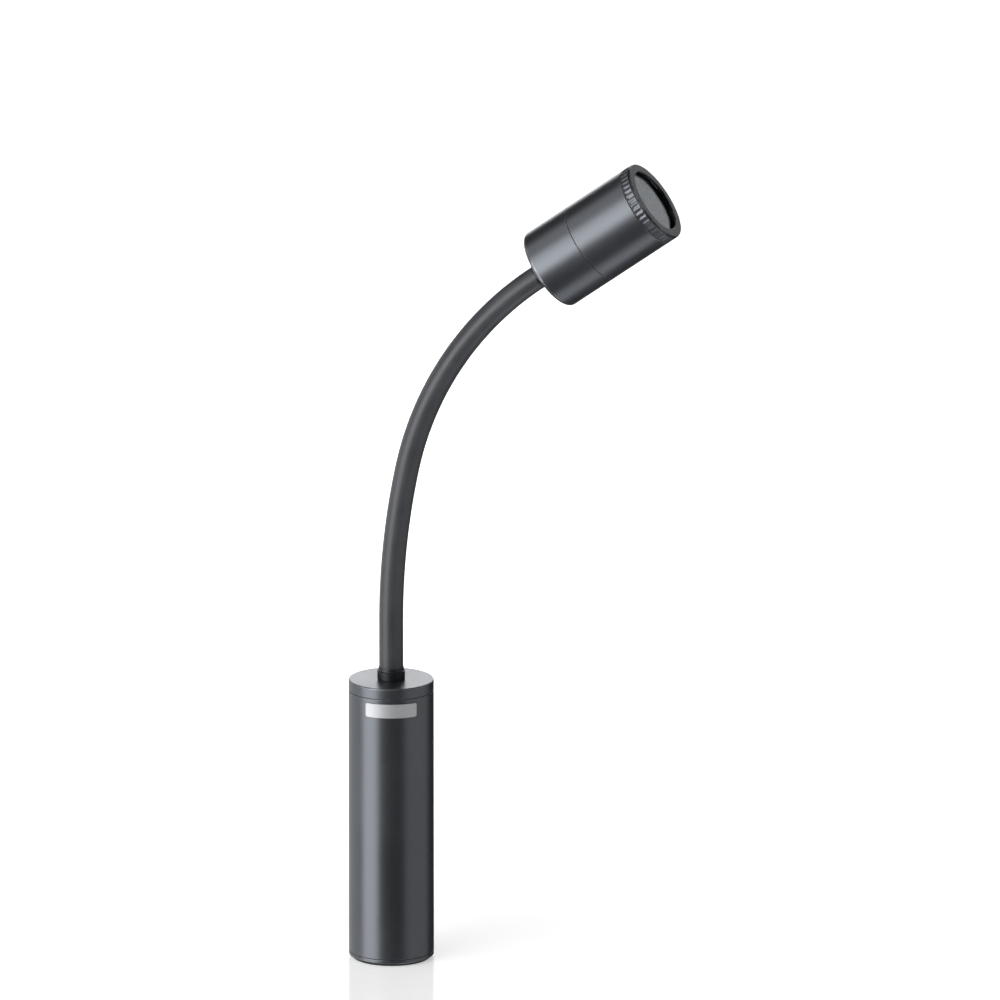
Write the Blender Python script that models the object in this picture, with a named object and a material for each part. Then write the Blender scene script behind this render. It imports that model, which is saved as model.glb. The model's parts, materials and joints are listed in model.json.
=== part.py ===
"""Cordless examination lamp: a weighted round base, a ball-jointed gooseneck and a focusing LED head.

Metres, +Z up. The origin is the centre of the foot's underside, and the neck bends towards +X.
"""

import math

import bmesh
import bpy
from mathutils import Matrix, Vector

MM = 0.001
GAP = 0.3 * MM  # clearance between neighbouring pieces
SINK = 1.0 * MM  # how far a cutter runs past the face that it opens

# Base: tube, plate, cap and foot
BASE_RADIUS = 30.0 * MM
BASE_HEIGHT = 203.0 * MM
BASE_WALL = 2.2 * MM
FOOT_RADIUS = 27.5 * MM
FOOT_THICKNESS = 1.5 * MM
PLATE_THICKNESS = 3.0 * MM
PLATE_SPIGOT = 3.2 * MM
CAP_THICKNESS = 6.0 * MM
CAP_FLANGE = 7.7 * MM
CAP_SPIGOT = 5.0 * MM
CAP_SPIGOT_WALL = 3.5 * MM
RIM_CHAMFER = 0.8 * MM

# Base: what the tube holds
CELL_RADIUS = 9.15 * MM
CELL_HEIGHT = 65.0 * MM
CELL_COUNT = 3
CELL_SPACE = 1.0 * MM
TRAY_THICKNESS = 3.0 * MM
POCKET_DEPTH = 1.5 * MM
LID_WIRE_RADIUS = 5.5 * MM
LID_SPACE = 3.6 * MM  # from the lid to the cap
BOARD_THICKNESS = 1.6 * MM
BOARD_WIDTH = 28.0 * MM
BASE_SCREW_COUNT = 3
BASE_SCREW_CIRCLE = 18.0 * MM
BASE_SCREW_RADIUS = 1.7 * MM
BASE_SCREW_HEAD_RADIUS = 3.4 * MM
BASE_SCREW_HEAD = 2.0 * MM
BASE_SCREW_LENGTH = 14.0 * MM

# Switch and charging inlet, on the back of the base
BUTTON_RISE = 43.1 * MM  # above the foot of the board
BUTTON_RADIUS = 6.0 * MM
BUTTON_FLANGE_RADIUS = 8.0 * MM
BUTTON_FLANGE = 1.4 * MM
BUTTON_PROUD = 1.0 * MM
BUTTON_TRAVEL = 0.8 * MM
BUTTON_STEM_RADIUS = 3.0 * MM
BUTTON_CHAMFER = 0.6 * MM
SWITCH_SIZE = 10.0 * MM
SWITCH_DEPTH = 4.3 * MM
PLUNGER_RADIUS = 2.2 * MM
PLUNGER_LENGTH = 1.6 * MM
INLET_RISE = 15.1 * MM
INLET_RADIUS = 4.6 * MM
INLET_BORE = 3.2 * MM
INLET_BORE_DEPTH = 10.0 * MM
INLET_RIM_RADIUS = 6.5 * MM
INLET_RIM = 1.2 * MM
INLET_CHAMFER = 0.4 * MM

# Nameplate, on the front of the base
NAMEPLATE_WIDTH = 36.0 * MM
NAMEPLATE_HEIGHT = 10.0 * MM
NAMEPLATE_THICKNESS = 0.4 * MM
NAMEPLATE_DROP = 16.0 * MM  # its centre, below the top of the base
NAMEPLATE_TURN = math.radians(14)  # from -Y towards +X

# Neck: a straight run, a wide arc, a tighter arc and a short straight end
NECK_STRAIGHT = 42.0 * MM
NECK_ARCS = ((540.0 * MM, math.radians(12)), (238.0 * MM, math.radians(42.3)))  # radius and turn
NECK_END = 10.0 * MM
NECK_JOINTS = 12
FIRST_JOINT = 10.0 * MM
SWAY_JOINTS = (2, 5, 8, 11)  # these bend sideways, and the others bend in the neck's own plane
SLEEVE_RADIUS = 8.5 * MM
SLEEVE_WALL = 1.2 * MM
SLEEVE_SPLIT = 2.4 * MM
LINK_SPACE = 0.7 * MM  # from a link to the sleeve, which curves while the link is straight
SOCKET_WALL = 1.3 * MM
BALL_LIP = 1.4 * MM  # from a ball's radius down to its waist's
LINK_BORE = 1.9 * MM
LINK_SHOULDER = 7.5 * MM
LINK_TAPER = 2.0 * MM  # from the waist up to the shoulder
SOCKET_BEVEL = 0.9 * MM  # across the rim of a socket
RIM_HEIGHT = 2.4 * MM  # how far the socket closes over the ball's centre
COLLAR_FLARE = 1.0 * MM  # how far the collar spreads towards its foot
COLLAR_HEIGHT = 7.0 * MM
COLLAR_LIP = 0.3 * MM  # how far the collar stands proud of the sleeve
COLLAR_RIM = 0.2 * MM  # step from the flare to the foot of the collar
COLLAR_SWEEP = (180, 262)  # degrees of the flare's arc
STUD_RADIUS = 5.9 * MM
STUD_END = 1.0 * MM  # thread that shows past a nut
NUT_RADIUS = 11.0 * MM
NUT_HEIGHT = 5.0 * MM

# Head
HEAD_RADIUS = 30.0 * MM
HEAD_WALL = 2.5 * MM
HEAD_LENGTH = 95.0 * MM
REAR_LENGTH = 38.0 * MM
REAR_WALL = 4.0 * MM
REAR_FILLET = 3.0 * MM
INNER_FILLET = 1.5 * MM
FERRULE_LIP = 0.5 * MM
FERRULE_REACH = 8.6 * MM  # back from the head's rear face
FERRULE_DEPTH = 4.0 * MM  # of the hollow around the last ball's waist, to the head's rear face
FERRULE_TAPER = 1.0 * MM
FERRULE_SPACE = 0.8 * MM  # from the last link to the ferrule around it
SINK_START = 13.0 * MM
SINK_FINS = 14.4 * MM
SINK_END = 34.0 * MM
SINK_BORE = 12.0 * MM
FIN_SLOTS = 8
FIN_SLOT_WIDTH = 2.6 * MM
FIN_PITCH = 6.0 * MM
LED_BOARD_RADIUS = 15.0 * MM
LED_BOARD_THICKNESS = 1.6 * MM
BOARD_SCREW_CIRCLE = 11.0 * MM
BOARD_SCREW_RADIUS = 1.15 * MM
BOARD_SCREW_HEAD_RADIUS = 2.4 * MM
BOARD_SCREW_HEAD = 1.5 * MM
BOARD_SCREW_LENGTH = 6.0 * MM
LED_RADIUS = 3.5 * MM
LED_HEIGHT = 1.0 * MM
LED_DOME = 1.4 * MM
COLLIMATOR_FOOT = 5.5 * MM
COLLIMATOR_RADIUS = 12.0 * MM
COLLIMATOR_LENGTH = 15.0 * MM
COLLIMATOR_BORE = 4.2 * MM
COLLIMATOR_FLANGE = 1.5 * MM
COLLIMATOR_SHANK = 3.0 * MM
COLLIMATOR_ROOM = 4.0 * MM  # from the light source's dome to the hollow's top
COLLIMATOR_CONE = 1.0 * MM
SPIGOT_LENGTH = 3.7 * MM
SPIGOT_WALL = 1.8 * MM
SPIGOT_RUN = 2.0 * MM  # of the spigot's bore, past the seam
SPIGOT_TAPER = 2.0 * MM  # from there out to the carrier's bore
RING_WIDTH = 6.2 * MM
RING_WALL = 1.7 * MM
RING_FLUTES = 48
RING_FLUTE_DEPTH = 0.5 * MM
RING_CHAMFER = 0.5 * MM
NOSE_WALL = 1.6 * MM
FRONT_LEDGE = 3.6 * MM  # the shoulder that carries the seal and the front glass
FRONT_LEDGE_DEPTH = 5.0 * MM
FRONT_STOP = 2.0 * MM
SEAL_THICKNESS = 0.6 * MM
GLASS_THICKNESS = 1.5 * MM
BEZEL_FLANGE = 1.2 * MM
BEZEL_SKIRT = 1.2 * MM
BEZEL_SKIRT_WALL = 1.5 * MM
BEZEL_INSET = 0.4 * MM  # from the head's radius to the bezel's
BEZEL_LIP = 3.2 * MM  # how far it reaches in over the glass
CARRIER_SPACE = 3.6 * MM  # from the carrier's front stop to the end of the bore
LENS_TRAVEL = 5.0 * MM  # each way
CARRIER_LENGTH = 14.0 * MM
CARRIER_WALL = 3.2 * MM
LENS_LEDGE = 2.2 * MM
LENS_EDGE = 2.0 * MM
LENS_CROWN = 6.0 * MM
LENS_SEAT = 4.0 * MM  # depth of the shoulder that carries the lens
LENS_RING_WALL = 1.1 * MM
LENS_RING_HEIGHT = 2.8 * MM
KEY_WIDTH = 3.0 * MM
KEY_DEPTH = 1.6 * MM
KEY_MARGIN = 1.5 * MM

# Facets around a turned piece
FINE = 48
ROUND = 28
MIDDLING = 24
MODEST = 20
SMALL = 16
LINK_SIDES = 14
TINY = 12
NAMEPLATE_STEPS = 12
NUT_SIDES = 6
BALL_STEPS = 5
FILLET_STEPS = 4
LENS_STEPS = 6
DOME_STEPS = 3
SLEEVE_STATIONS = 3

# Sizes that follow from the ones above
BASE_BORE = BASE_RADIUS - BASE_WALL
FIT_RADIUS = BASE_BORE - GAP
PLATE_LOW = FOOT_THICKNESS + GAP
PLATE_STEP = PLATE_LOW + PLATE_THICKNESS
PLATE_TOP = PLATE_STEP + PLATE_SPIGOT
TUBE_LOW = PLATE_STEP + GAP
CAP_STEP = BASE_HEIGHT - CAP_FLANGE
TUBE_TOP = CAP_STEP - GAP
CAP_PLATE = BASE_HEIGHT - CAP_THICKNESS
CAP_LOW = CAP_STEP - CAP_SPIGOT
LID_LOW = CAP_LOW - LID_SPACE - TRAY_THICKNESS
CELL_TOP = LID_LOW + POCKET_DEPTH - GAP
CELL_LOW = CELL_TOP - CELL_HEIGHT
TRAY_LOW = CELL_LOW - GAP + POCKET_DEPTH - TRAY_THICKNESS
BALLAST_LOW = PLATE_TOP + GAP
BALLAST_TOP = TRAY_LOW - GAP
BUTTON_HEIGHT = CELL_LOW + BUTTON_RISE
INLET_HEIGHT = CELL_LOW + INLET_RISE
CELL_CIRCLE = (CELL_RADIUS + CELL_SPACE / 2) / math.sin(math.pi / CELL_COUNT)
CELL_REACH = CELL_CIRCLE * math.cos(math.pi / CELL_COUNT) + CELL_RADIUS
BOARD_BACK = CELL_REACH + 3 * GAP
BOARD_FACE = BOARD_BACK + BOARD_THICKNESS
LINK_RADIUS = SLEEVE_RADIUS - SLEEVE_WALL - LINK_SPACE
SOCKET_RADIUS = LINK_RADIUS - SOCKET_WALL
BALL_RADIUS = SOCKET_RADIUS - GAP
WAIST_RADIUS = BALL_RADIUS - BALL_LIP
COLLAR_NECK = SLEEVE_RADIUS + COLLAR_LIP
COLLAR_RADIUS = COLLAR_NECK + COLLAR_FLARE
FERRULE_RADIUS = SLEEVE_RADIUS + FERRULE_LIP
STUD_HOLE = STUD_RADIUS + GAP
NECK_LENGTH = NECK_STRAIGHT + sum(radius * turn for radius, turn in NECK_ARCS) + NECK_END
JOINT_STEP = (NECK_LENGTH - NECK_END - FIRST_JOINT) / (NECK_JOINTS - 1)
HEAD_BORE = HEAD_RADIUS - HEAD_WALL
HEAD_FIT = HEAD_BORE - GAP
LED_BOARD_LOW = SINK_END + GAP
LED_BOARD_TOP = LED_BOARD_LOW + LED_BOARD_THICKNESS
BARREL_START = REAR_LENGTH + GAP
BEZEL_LOW = HEAD_LENGTH - BEZEL_FLANGE
BARREL_END = BEZEL_LOW - GAP
RING_END = BARREL_END
RING_START = RING_END - RING_WIDTH
RING_STEP = RING_START - GAP
NOSE_RADIUS = HEAD_RADIUS - RING_WALL - GAP
GLASS_TOP = BEZEL_LOW - BEZEL_SKIRT - GAP
GLASS_LOW = GLASS_TOP - GLASS_THICKNESS
SEAL_LOW = GLASS_LOW - GAP - SEAL_THICKNESS
FRONT_SEAT = SEAL_LOW - GAP
FRONT_SEAT_RADIUS = NOSE_RADIUS - NOSE_WALL
FRONT_BORE = FRONT_SEAT_RADIUS - FRONT_LEDGE
BORE_END = FRONT_SEAT - FRONT_LEDGE_DEPTH
BEZEL_RADIUS = HEAD_RADIUS - BEZEL_INSET
BEZEL_BORE = FRONT_SEAT_RADIUS - BEZEL_LIP
CARRIER_START = BORE_END - FRONT_STOP - CARRIER_SPACE - LENS_TRAVEL - CARRIER_LENGTH
LENS_RADIUS = HEAD_FIT - CARRIER_WALL - GAP
CARRIER_BORE = LENS_RADIUS - LENS_LEDGE
LENS_LOW = CARRIER_START + LENS_SEAT + GAP
LENS_CURVE = (LENS_RADIUS**2 + LENS_CROWN**2) / (2 * LENS_CROWN)

# colour, roughness, metallic
FINISHES = {
    "anodised": ((0.125, 0.133, 0.147), 0.36, 0.85),
    "dark_anodised": ((0.045, 0.047, 0.052), 0.40, 0.80),
    "sleeve": ((0.060, 0.063, 0.069), 0.48, 0.0),
    "rubber": ((0.020, 0.020, 0.022), 0.80, 0.0),
    "satin_plate": ((0.72, 0.73, 0.75), 0.38, 0.9),
    "steel": ((0.50, 0.51, 0.53), 0.35, 1.0),
    "black_plastic": ((0.030, 0.030, 0.033), 0.50, 0.0),
    "cell_wrap": ((0.05, 0.20, 0.45), 0.40, 0.0),
    "circuit_board": ((0.02, 0.17, 0.09), 0.45, 0.0),
    "plain_aluminium": ((0.68, 0.69, 0.70), 0.38, 1.0),
    "led": ((0.95, 0.83, 0.35), 0.35, 0.0),
    "glass": ((0.80, 0.84, 0.86), 0.05, 0.0),
}


# Making meshes


def finished_mesh(shape):
    """The bmesh as a mesh that is smooth except along its edges."""
    bmesh.ops.remove_doubles(shape, verts=shape.verts[:], dist=0.001 * MM)
    bmesh.ops.recalc_face_normals(shape, faces=shape.faces[:])
    mesh = bpy.data.meshes.new("shape")
    shape.to_mesh(mesh)
    shape.free()
    mesh.shade_smooth()
    mesh.set_sharp_from_angle(angle=math.radians(30))
    return mesh


def turned(profile, sides=ROUND, flutes=None):
    """A closed profile of (radius, height) points, turned once about Z."""
    shape = bmesh.new()
    corners = [shape.verts.new((radius, 0, height)) for radius, height in profile]
    edges = []
    for before, after in zip(corners, corners[1:] + corners[:1]):
        if before.co.x > 0 or after.co.x > 0:
            edges.append(shape.edges.new((before, after)))
    bmesh.ops.spin(
        shape,
        geom=corners + edges,
        cent=(0, 0, 0),
        axis=(0, 0, 1),
        angle=2 * math.pi,
        steps=sides,
        use_merge=False,
    )
    if flutes:
        flutes(shape)
    return finished_mesh(shape)


def rod(radius, low, high, sides=ROUND):
    return turned([(0, high), (radius, high), (radius, low), (0, low)], sides)


def ring(outer, inner, low, high, sides=ROUND):
    return turned([(outer, high), (outer, low), (inner, low), (inner, high)], sides)


def block(low, high):
    """A box between two corners."""
    shape = bmesh.new()
    bmesh.ops.create_cube(shape, size=1)
    low, high = Vector(low), Vector(high)
    for corner in shape.verts:
        corner.co = (low + high) / 2 + corner.co * (high - low)
    return finished_mesh(shape)


def together(meshes, places):
    """Several separate bodies in one mesh, for a cutter that makes several holes."""
    shape = bmesh.new()
    for mesh, place in zip(meshes, places):
        copy = mesh.copy()
        copy.transform(place)
        shape.from_mesh(copy)
    return finished_mesh(shape)


def arc(centre_radius, centre_height, radius, start, end, steps):
    """Points on an arc, with angles in degrees from the outward direction towards +Z."""
    points = []
    for step in range(steps + 1):
        angle = math.radians(start + (end - start) * step / steps)
        across = centre_radius + radius * math.cos(angle)
        up = centre_height + radius * math.sin(angle)
        points.append((across, up))
    return points


# Placing objects


def world_place(thing):
    """World matrix of an object, worked out from its parents."""
    if thing.parent:
        return world_place(thing.parent) @ thing.matrix_basis
    return thing.matrix_basis.copy()


def put(thing, place, parent):
    bpy.context.scene.collection.objects.link(thing)
    if parent:
        thing.parent = parent
        place = world_place(parent).inverted() @ place
    thing.matrix_basis = place


def make_part(name, mesh, finish, place=Matrix(), parent=None):
    """A named piece with its own material."""
    mesh.name = name
    part = bpy.data.objects.new(name, mesh)
    put(part, place, parent)
    colour, roughness, metallic = FINISHES[finish]
    material = bpy.data.materials.new(name + "_finish")
    material.use_nodes = True
    shader = material.node_tree.nodes["Principled BSDF"]
    shader.inputs["Base Color"].default_value = (*colour, 1)
    shader.inputs["Roughness"].default_value = roughness
    shader.inputs["Metallic"].default_value = metallic
    mesh.materials.append(material)
    return part


def make_stand(name, place, parent=None):
    """An empty on a joint's axis. What the joint moves hangs from it."""
    stand = bpy.data.objects.new(name, None)
    put(stand, place, parent)
    return stand


def combine(part, mesh, place=Matrix(), operation="DIFFERENCE"):
    """Cuts a shape out of a part, or joins it on. The shape stays in the scene as a hidden wire."""
    tool = bpy.data.objects.new(part.name + "_tool", mesh)
    put(tool, place, None)
    tool.hide_render = True
    tool.display_type = "WIRE"
    modifier = part.modifiers.new(operation.lower(), "BOOLEAN")
    modifier.operation = operation
    modifier.solver = "EXACT"
    modifier.object = tool


def around(count, start=0.0):
    """Angles of equally spaced copies around a circle."""
    return [start + 2 * math.pi * index / count for index in range(count)]


def on_circle(radius, angle, height=0.0):
    return Vector((radius * math.cos(angle), radius * math.sin(angle), height))


# The neck's line


def neck_place(distance):
    """Frame at a distance along the neck: Z runs along it, and Y is square to its bend."""
    run = min(distance, NECK_STRAIGHT)
    left = distance - run
    place = Matrix.Translation((0, 0, BASE_HEIGHT + run))
    for radius, whole_turn in NECK_ARCS:
        turn = min(left / radius, whole_turn)
        step = (radius * (1 - math.cos(turn)), 0, radius * math.sin(turn))
        place = place @ Matrix.Translation(step) @ Matrix.Rotation(turn, 4, "Y")
        left -= radius * turn
    return place @ Matrix.Translation((0, 0, left))


def joint_distance(number):
    """Distance along the neck of joint 1, 2, 3 and so on."""
    return FIRST_JOINT + (number - 1) * JOINT_STEP


def link_place(number):
    """Frame of a neck link: Z runs from its own joint to the next, and Y is square to the bend."""
    start = neck_place(joint_distance(number)).translation
    end = neck_place(joint_distance(number + 1)).translation
    along = end - start
    return Matrix.Translation(start) @ Matrix.Rotation(math.atan2(along.x, along.z), 4, "Y")


def link_length(number):
    start = neck_place(joint_distance(number)).translation
    return (neck_place(joint_distance(number + 1)).translation - start).length


def ball_points():
    """From the bore at the bottom of a ball, round it and up to its waist."""
    low = -math.degrees(math.acos(LINK_BORE / BALL_RADIUS))
    high = math.degrees(math.acos(WAIST_RADIUS / BALL_RADIUS))
    return arc(0, 0, BALL_RADIUS, low, high, BALL_STEPS)


def socket_points(centre):
    """From the outer rim of a socket, over it and down its hollow to the bore."""
    high = math.degrees(math.asin(RIM_HEIGHT / SOCKET_RADIUS))
    low = -math.degrees(math.acos(LINK_BORE / SOCKET_RADIUS))
    rim = [
        (LINK_RADIUS, centre + RIM_HEIGHT / 3),
        (LINK_RADIUS - SOCKET_BEVEL, centre + RIM_HEIGHT),
    ]
    return rim + arc(0, centre, SOCKET_RADIUS, high, low, BALL_STEPS)


# Base


def build_base_shell():
    foot = rod(FOOT_RADIUS, 0, FOOT_THICKNESS)
    make_part("rubber_foot", foot, "rubber")
    plate = [
        (0, PLATE_TOP),
        (FIT_RADIUS, PLATE_TOP),
        (FIT_RADIUS, PLATE_STEP),
        (BASE_RADIUS, PLATE_STEP),
        (BASE_RADIUS, PLATE_LOW + RIM_CHAMFER),
        (BASE_RADIUS - RIM_CHAMFER, PLATE_LOW),
        (0, PLATE_LOW),
    ]
    plate = make_part("base_plate", turned(plate), "anodised")
    ballast = rod(FIT_RADIUS, BALLAST_LOW, BALLAST_TOP)
    ballast = make_part("ballast_weight", ballast, "steel")
    hole_radius = BASE_SCREW_RADIUS + GAP
    head_top = PLATE_LOW + GAP + BASE_SCREW_HEAD
    screw_hole = [
        (0, PLATE_LOW + BASE_SCREW_LENGTH + 2 * GAP),
        (hole_radius, PLATE_LOW + BASE_SCREW_LENGTH + 2 * GAP),
        (hole_radius, head_top + GAP),
        (BASE_SCREW_HEAD_RADIUS + GAP, head_top + GAP),
        (BASE_SCREW_HEAD_RADIUS + GAP, PLATE_LOW - SINK),
        (0, PLATE_LOW - SINK),
    ]
    places = []
    for angle in around(BASE_SCREW_COUNT, math.pi / 6):
        places.append(Matrix.Translation(on_circle(BASE_SCREW_CIRCLE, angle)))
    holes = together([turned(screw_hole, SMALL)] * BASE_SCREW_COUNT, places)
    combine(plate, holes)
    combine(ballast, holes.copy())
    screw = [
        (0, PLATE_LOW + BASE_SCREW_LENGTH),
        (BASE_SCREW_RADIUS, PLATE_LOW + BASE_SCREW_LENGTH),
        (BASE_SCREW_RADIUS, head_top),
        (BASE_SCREW_HEAD_RADIUS, head_top),
        (BASE_SCREW_HEAD_RADIUS, PLATE_LOW + GAP),
        (0, PLATE_LOW + GAP),
    ]
    for number, place in enumerate(places, 1):
        make_part(f"base_screw_{number}", turned(screw, SMALL), "steel", place)


def facing(angle, height):
    """Frame with Z pointing out of the base at an angle, at a height."""
    point = Matrix.Translation((0, 0, height))
    return point @ Matrix.Rotation(angle, 4, "Z") @ Matrix.Rotation(math.pi / 2, 4, "Y")


BACK = math.pi / 2
BUTTON_PLACE = facing(BACK, BUTTON_HEIGHT)
INLET_PLACE = facing(BACK, INLET_HEIGHT)


def build_base_tube():
    tube = ring(BASE_RADIUS, BASE_BORE, TUBE_LOW, TUBE_TOP, FINE)
    tube = make_part("base_tube", tube, "anodised")
    low = BASE_RADIUS - 2 * BASE_WALL
    high = BASE_RADIUS + SINK
    button_hole = rod(BUTTON_RADIUS + GAP, low, high, SMALL)
    inlet_hole = rod(INLET_RADIUS + GAP, low, high, SMALL)
    combine(tube, together([button_hole, inlet_hole], [BUTTON_PLACE, INLET_PLACE]))


def build_top_cap():
    cap = [
        (STUD_HOLE, BASE_HEIGHT),
        (BASE_RADIUS - RIM_CHAMFER, BASE_HEIGHT),
        (BASE_RADIUS, BASE_HEIGHT - RIM_CHAMFER),
        (BASE_RADIUS, CAP_STEP),
        (FIT_RADIUS, CAP_STEP),
        (FIT_RADIUS, CAP_LOW),
        (FIT_RADIUS - CAP_SPIGOT_WALL, CAP_LOW),
        (FIT_RADIUS - CAP_SPIGOT_WALL, CAP_PLATE),
        (STUD_HOLE, CAP_PLATE),
    ]
    make_part("base_top_cap", turned(cap), "anodised")


def build_battery():
    spots = []
    for angle in around(CELL_COUNT, -math.pi / 2):
        spots.append(Matrix.Translation(on_circle(CELL_CIRCLE, angle)))
    pocket = rod(CELL_RADIUS + GAP, CELL_LOW - GAP, CELL_TOP + GAP, MODEST)
    half = BOARD_WIDTH / 2
    board_slot = block(
        (-half - GAP, BOARD_BACK - GAP, CELL_LOW - GAP),
        (half + GAP, BOARD_FACE + GAP, CELL_TOP + GAP),
    )
    pockets = together([pocket] * CELL_COUNT + [board_slot], spots + [Matrix()])
    tray = rod(FIT_RADIUS, TRAY_LOW, TRAY_LOW + TRAY_THICKNESS)
    tray = make_part("battery_tray", tray, "black_plastic")
    combine(tray, pockets)
    lid = ring(FIT_RADIUS, LID_WIRE_RADIUS, LID_LOW, LID_LOW + TRAY_THICKNESS)
    lid = make_part("battery_lid", lid, "black_plastic")
    combine(lid, pockets.copy())
    for number, spot in enumerate(spots, 1):
        cell = rod(CELL_RADIUS, CELL_LOW, CELL_TOP, MODEST)
        make_part(f"battery_cell_{number}", cell, "cell_wrap", spot)
    board = block((-half, BOARD_BACK, CELL_LOW), (half, BOARD_FACE, CELL_TOP))
    make_part("control_board", board, "circuit_board")


def build_switch():
    """A push-button in the tube's wall, over a switch on the board."""
    half = SWITCH_SIZE / 2
    face = BOARD_FACE + GAP
    body = block((-half, -half, face), (half, half, face + SWITCH_DEPTH))
    switch = make_part("button_switch", body, "black_plastic", BUTTON_PLACE)
    plunger_top = face + SWITCH_DEPTH + PLUNGER_LENGTH
    combine(switch, rod(PLUNGER_RADIUS, face + GAP, plunger_top, SMALL), BUTTON_PLACE, "UNION")
    stem_low = plunger_top + BUTTON_TRAVEL + GAP
    flange_high = math.sqrt(BASE_BORE**2 - BUTTON_FLANGE_RADIUS**2) - GAP
    flange_low = flange_high - BUTTON_FLANGE
    button_top = BASE_RADIUS + BUTTON_PROUD
    button = [
        (0, button_top),
        (BUTTON_RADIUS - BUTTON_CHAMFER, button_top),
        (BUTTON_RADIUS, button_top - BUTTON_CHAMFER),
        (BUTTON_RADIUS, flange_high),
        (BUTTON_FLANGE_RADIUS, flange_high),
        (BUTTON_FLANGE_RADIUS, flange_low),
        (BUTTON_STEM_RADIUS, flange_low),
        (BUTTON_STEM_RADIUS, min(stem_low, flange_low - GAP)),
        (0, min(stem_low, flange_low - GAP)),
    ]
    stand = make_stand("button_press", BUTTON_PLACE)
    make_part("power_button", turned(button, SMALL), "black_plastic", BUTTON_PLACE, stand)


def build_inlet():
    """A round charging socket, soldered to the board and with its rim on the tube."""
    rim_top = BASE_RADIUS + GAP + INLET_RIM
    inlet = [
        (INLET_RIM_RADIUS - INLET_CHAMFER, rim_top),
        (INLET_RIM_RADIUS, rim_top - INLET_CHAMFER),
        (INLET_RIM_RADIUS, BASE_RADIUS + GAP),
        (INLET_RADIUS, BASE_RADIUS + GAP),
        (INLET_RADIUS, BOARD_FACE + GAP),
        (0, BOARD_FACE + GAP),
        (0, rim_top - INLET_BORE_DEPTH),
        (INLET_BORE, rim_top - INLET_BORE_DEPTH),
        (INLET_BORE, rim_top),
    ]
    make_part("charging_inlet", turned(inlet, SMALL), "black_plastic", INLET_PLACE)


def build_nameplate():
    """A blank curved plate: a strip of the ring around the base, with square ends."""
    shape = bmesh.new()
    inner = BASE_RADIUS + GAP
    outer = inner + NAMEPLATE_THICKNESS
    half_turn = math.asin(NAMEPLATE_WIDTH / 2 / outer)
    middle = BASE_HEIGHT - NAMEPLATE_DROP
    low = middle - NAMEPLATE_HEIGHT / 2
    high = middle + NAMEPLATE_HEIGHT / 2
    corners = []
    for radius, height in ((inner, low), (outer, low), (outer, high), (inner, high)):
        corners.append(shape.verts.new(on_circle(radius, -half_turn, height)))
    strip = shape.faces.new(corners)
    bmesh.ops.spin(
        shape,
        geom=[strip],
        cent=(0, 0, 0),
        axis=(0, 0, 1),
        angle=2 * half_turn,
        steps=NAMEPLATE_STEPS,
        use_merge=False,
    )
    place = Matrix.Rotation(NAMEPLATE_TURN - math.pi / 2, 4, "Z")
    make_part("nameplate", finished_mesh(shape), "satin_plate", place)


def hex_nut(low, high):
    """A nut blank: a hexagonal rod."""
    return rod(NUT_RADIUS, low, high, NUT_SIDES)


def build_collar():
    """The neck's lower fitting: a flared collar over a threaded stud, with the first socket on top."""
    stud_low = CAP_PLATE - GAP - NUT_HEIGHT - STUD_END - BASE_HEIGHT
    flare_middle = COLLAR_RADIUS + COLLAR_RIM
    flare = arc(flare_middle, COLLAR_HEIGHT, COLLAR_FLARE, *COLLAR_SWEEP, FILLET_STEPS)
    collar = [
        (LINK_RADIUS, FIRST_JOINT - SLEEVE_SPLIT / 2),
        (COLLAR_NECK, FIRST_JOINT - SLEEVE_SPLIT / 2),
    ]
    collar += flare
    collar += [
        (COLLAR_RADIUS, GAP),
        (STUD_RADIUS, GAP),
        (STUD_RADIUS, stud_low),
        (LINK_BORE, stud_low),
    ]
    profile = socket_points(FIRST_JOINT)
    profile.reverse()
    place = neck_place(0)
    make_part("neck_collar", turned(profile + collar, MODEST), "dark_anodised", place)
    nut = hex_nut(CAP_PLATE - GAP - NUT_HEIGHT, CAP_PLATE - GAP)
    nut = make_part("neck_lock_nut", nut, "steel")
    combine(nut, rod(STUD_HOLE, CAP_PLATE - 3 * NUT_HEIGHT, CAP_PLATE + SINK, MIDDLING))


# Neck


def link_mesh(length):
    """A ball at the bottom, a waist and shoulder, and a socket for the next ball."""
    body = [
        (WAIST_RADIUS, LINK_SHOULDER - LINK_TAPER),
        (LINK_RADIUS, LINK_SHOULDER),
    ]
    profile = ball_points() + body + socket_points(length)
    return turned(profile, LINK_SIDES)


def sleeve_mesh(number, place):
    """One link's length of the sleeve: rings square to the neck's line, joined end to end."""
    shape = bmesh.new()
    start = joint_distance(number) + SLEEVE_SPLIT / 2
    end = joint_distance(number + 1) - SLEEVE_SPLIT / 2
    stack = []
    for station in range(SLEEVE_STATIONS):
        here = neck_place(start + (end - start) * station / (SLEEVE_STATIONS - 1))
        here = place.inverted() @ here
        pair = []
        for radius in (SLEEVE_RADIUS, SLEEVE_RADIUS - SLEEVE_WALL):
            pair.append([shape.verts.new(here @ on_circle(radius, a)) for a in around(SMALL)])
        stack.append(pair)
    strips = [(stack[0][0], stack[0][1]), (stack[-1][0], stack[-1][1])]
    for lower, upper in zip(stack, stack[1:]):
        strips += [(lower[0], upper[0]), (lower[1], upper[1])]
    for one, other in strips:
        for index in range(SMALL):
            ahead = (index + 1) % SMALL
            shape.faces.new((one[index], one[ahead], other[ahead], other[index]))
    return finished_mesh(shape)


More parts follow.
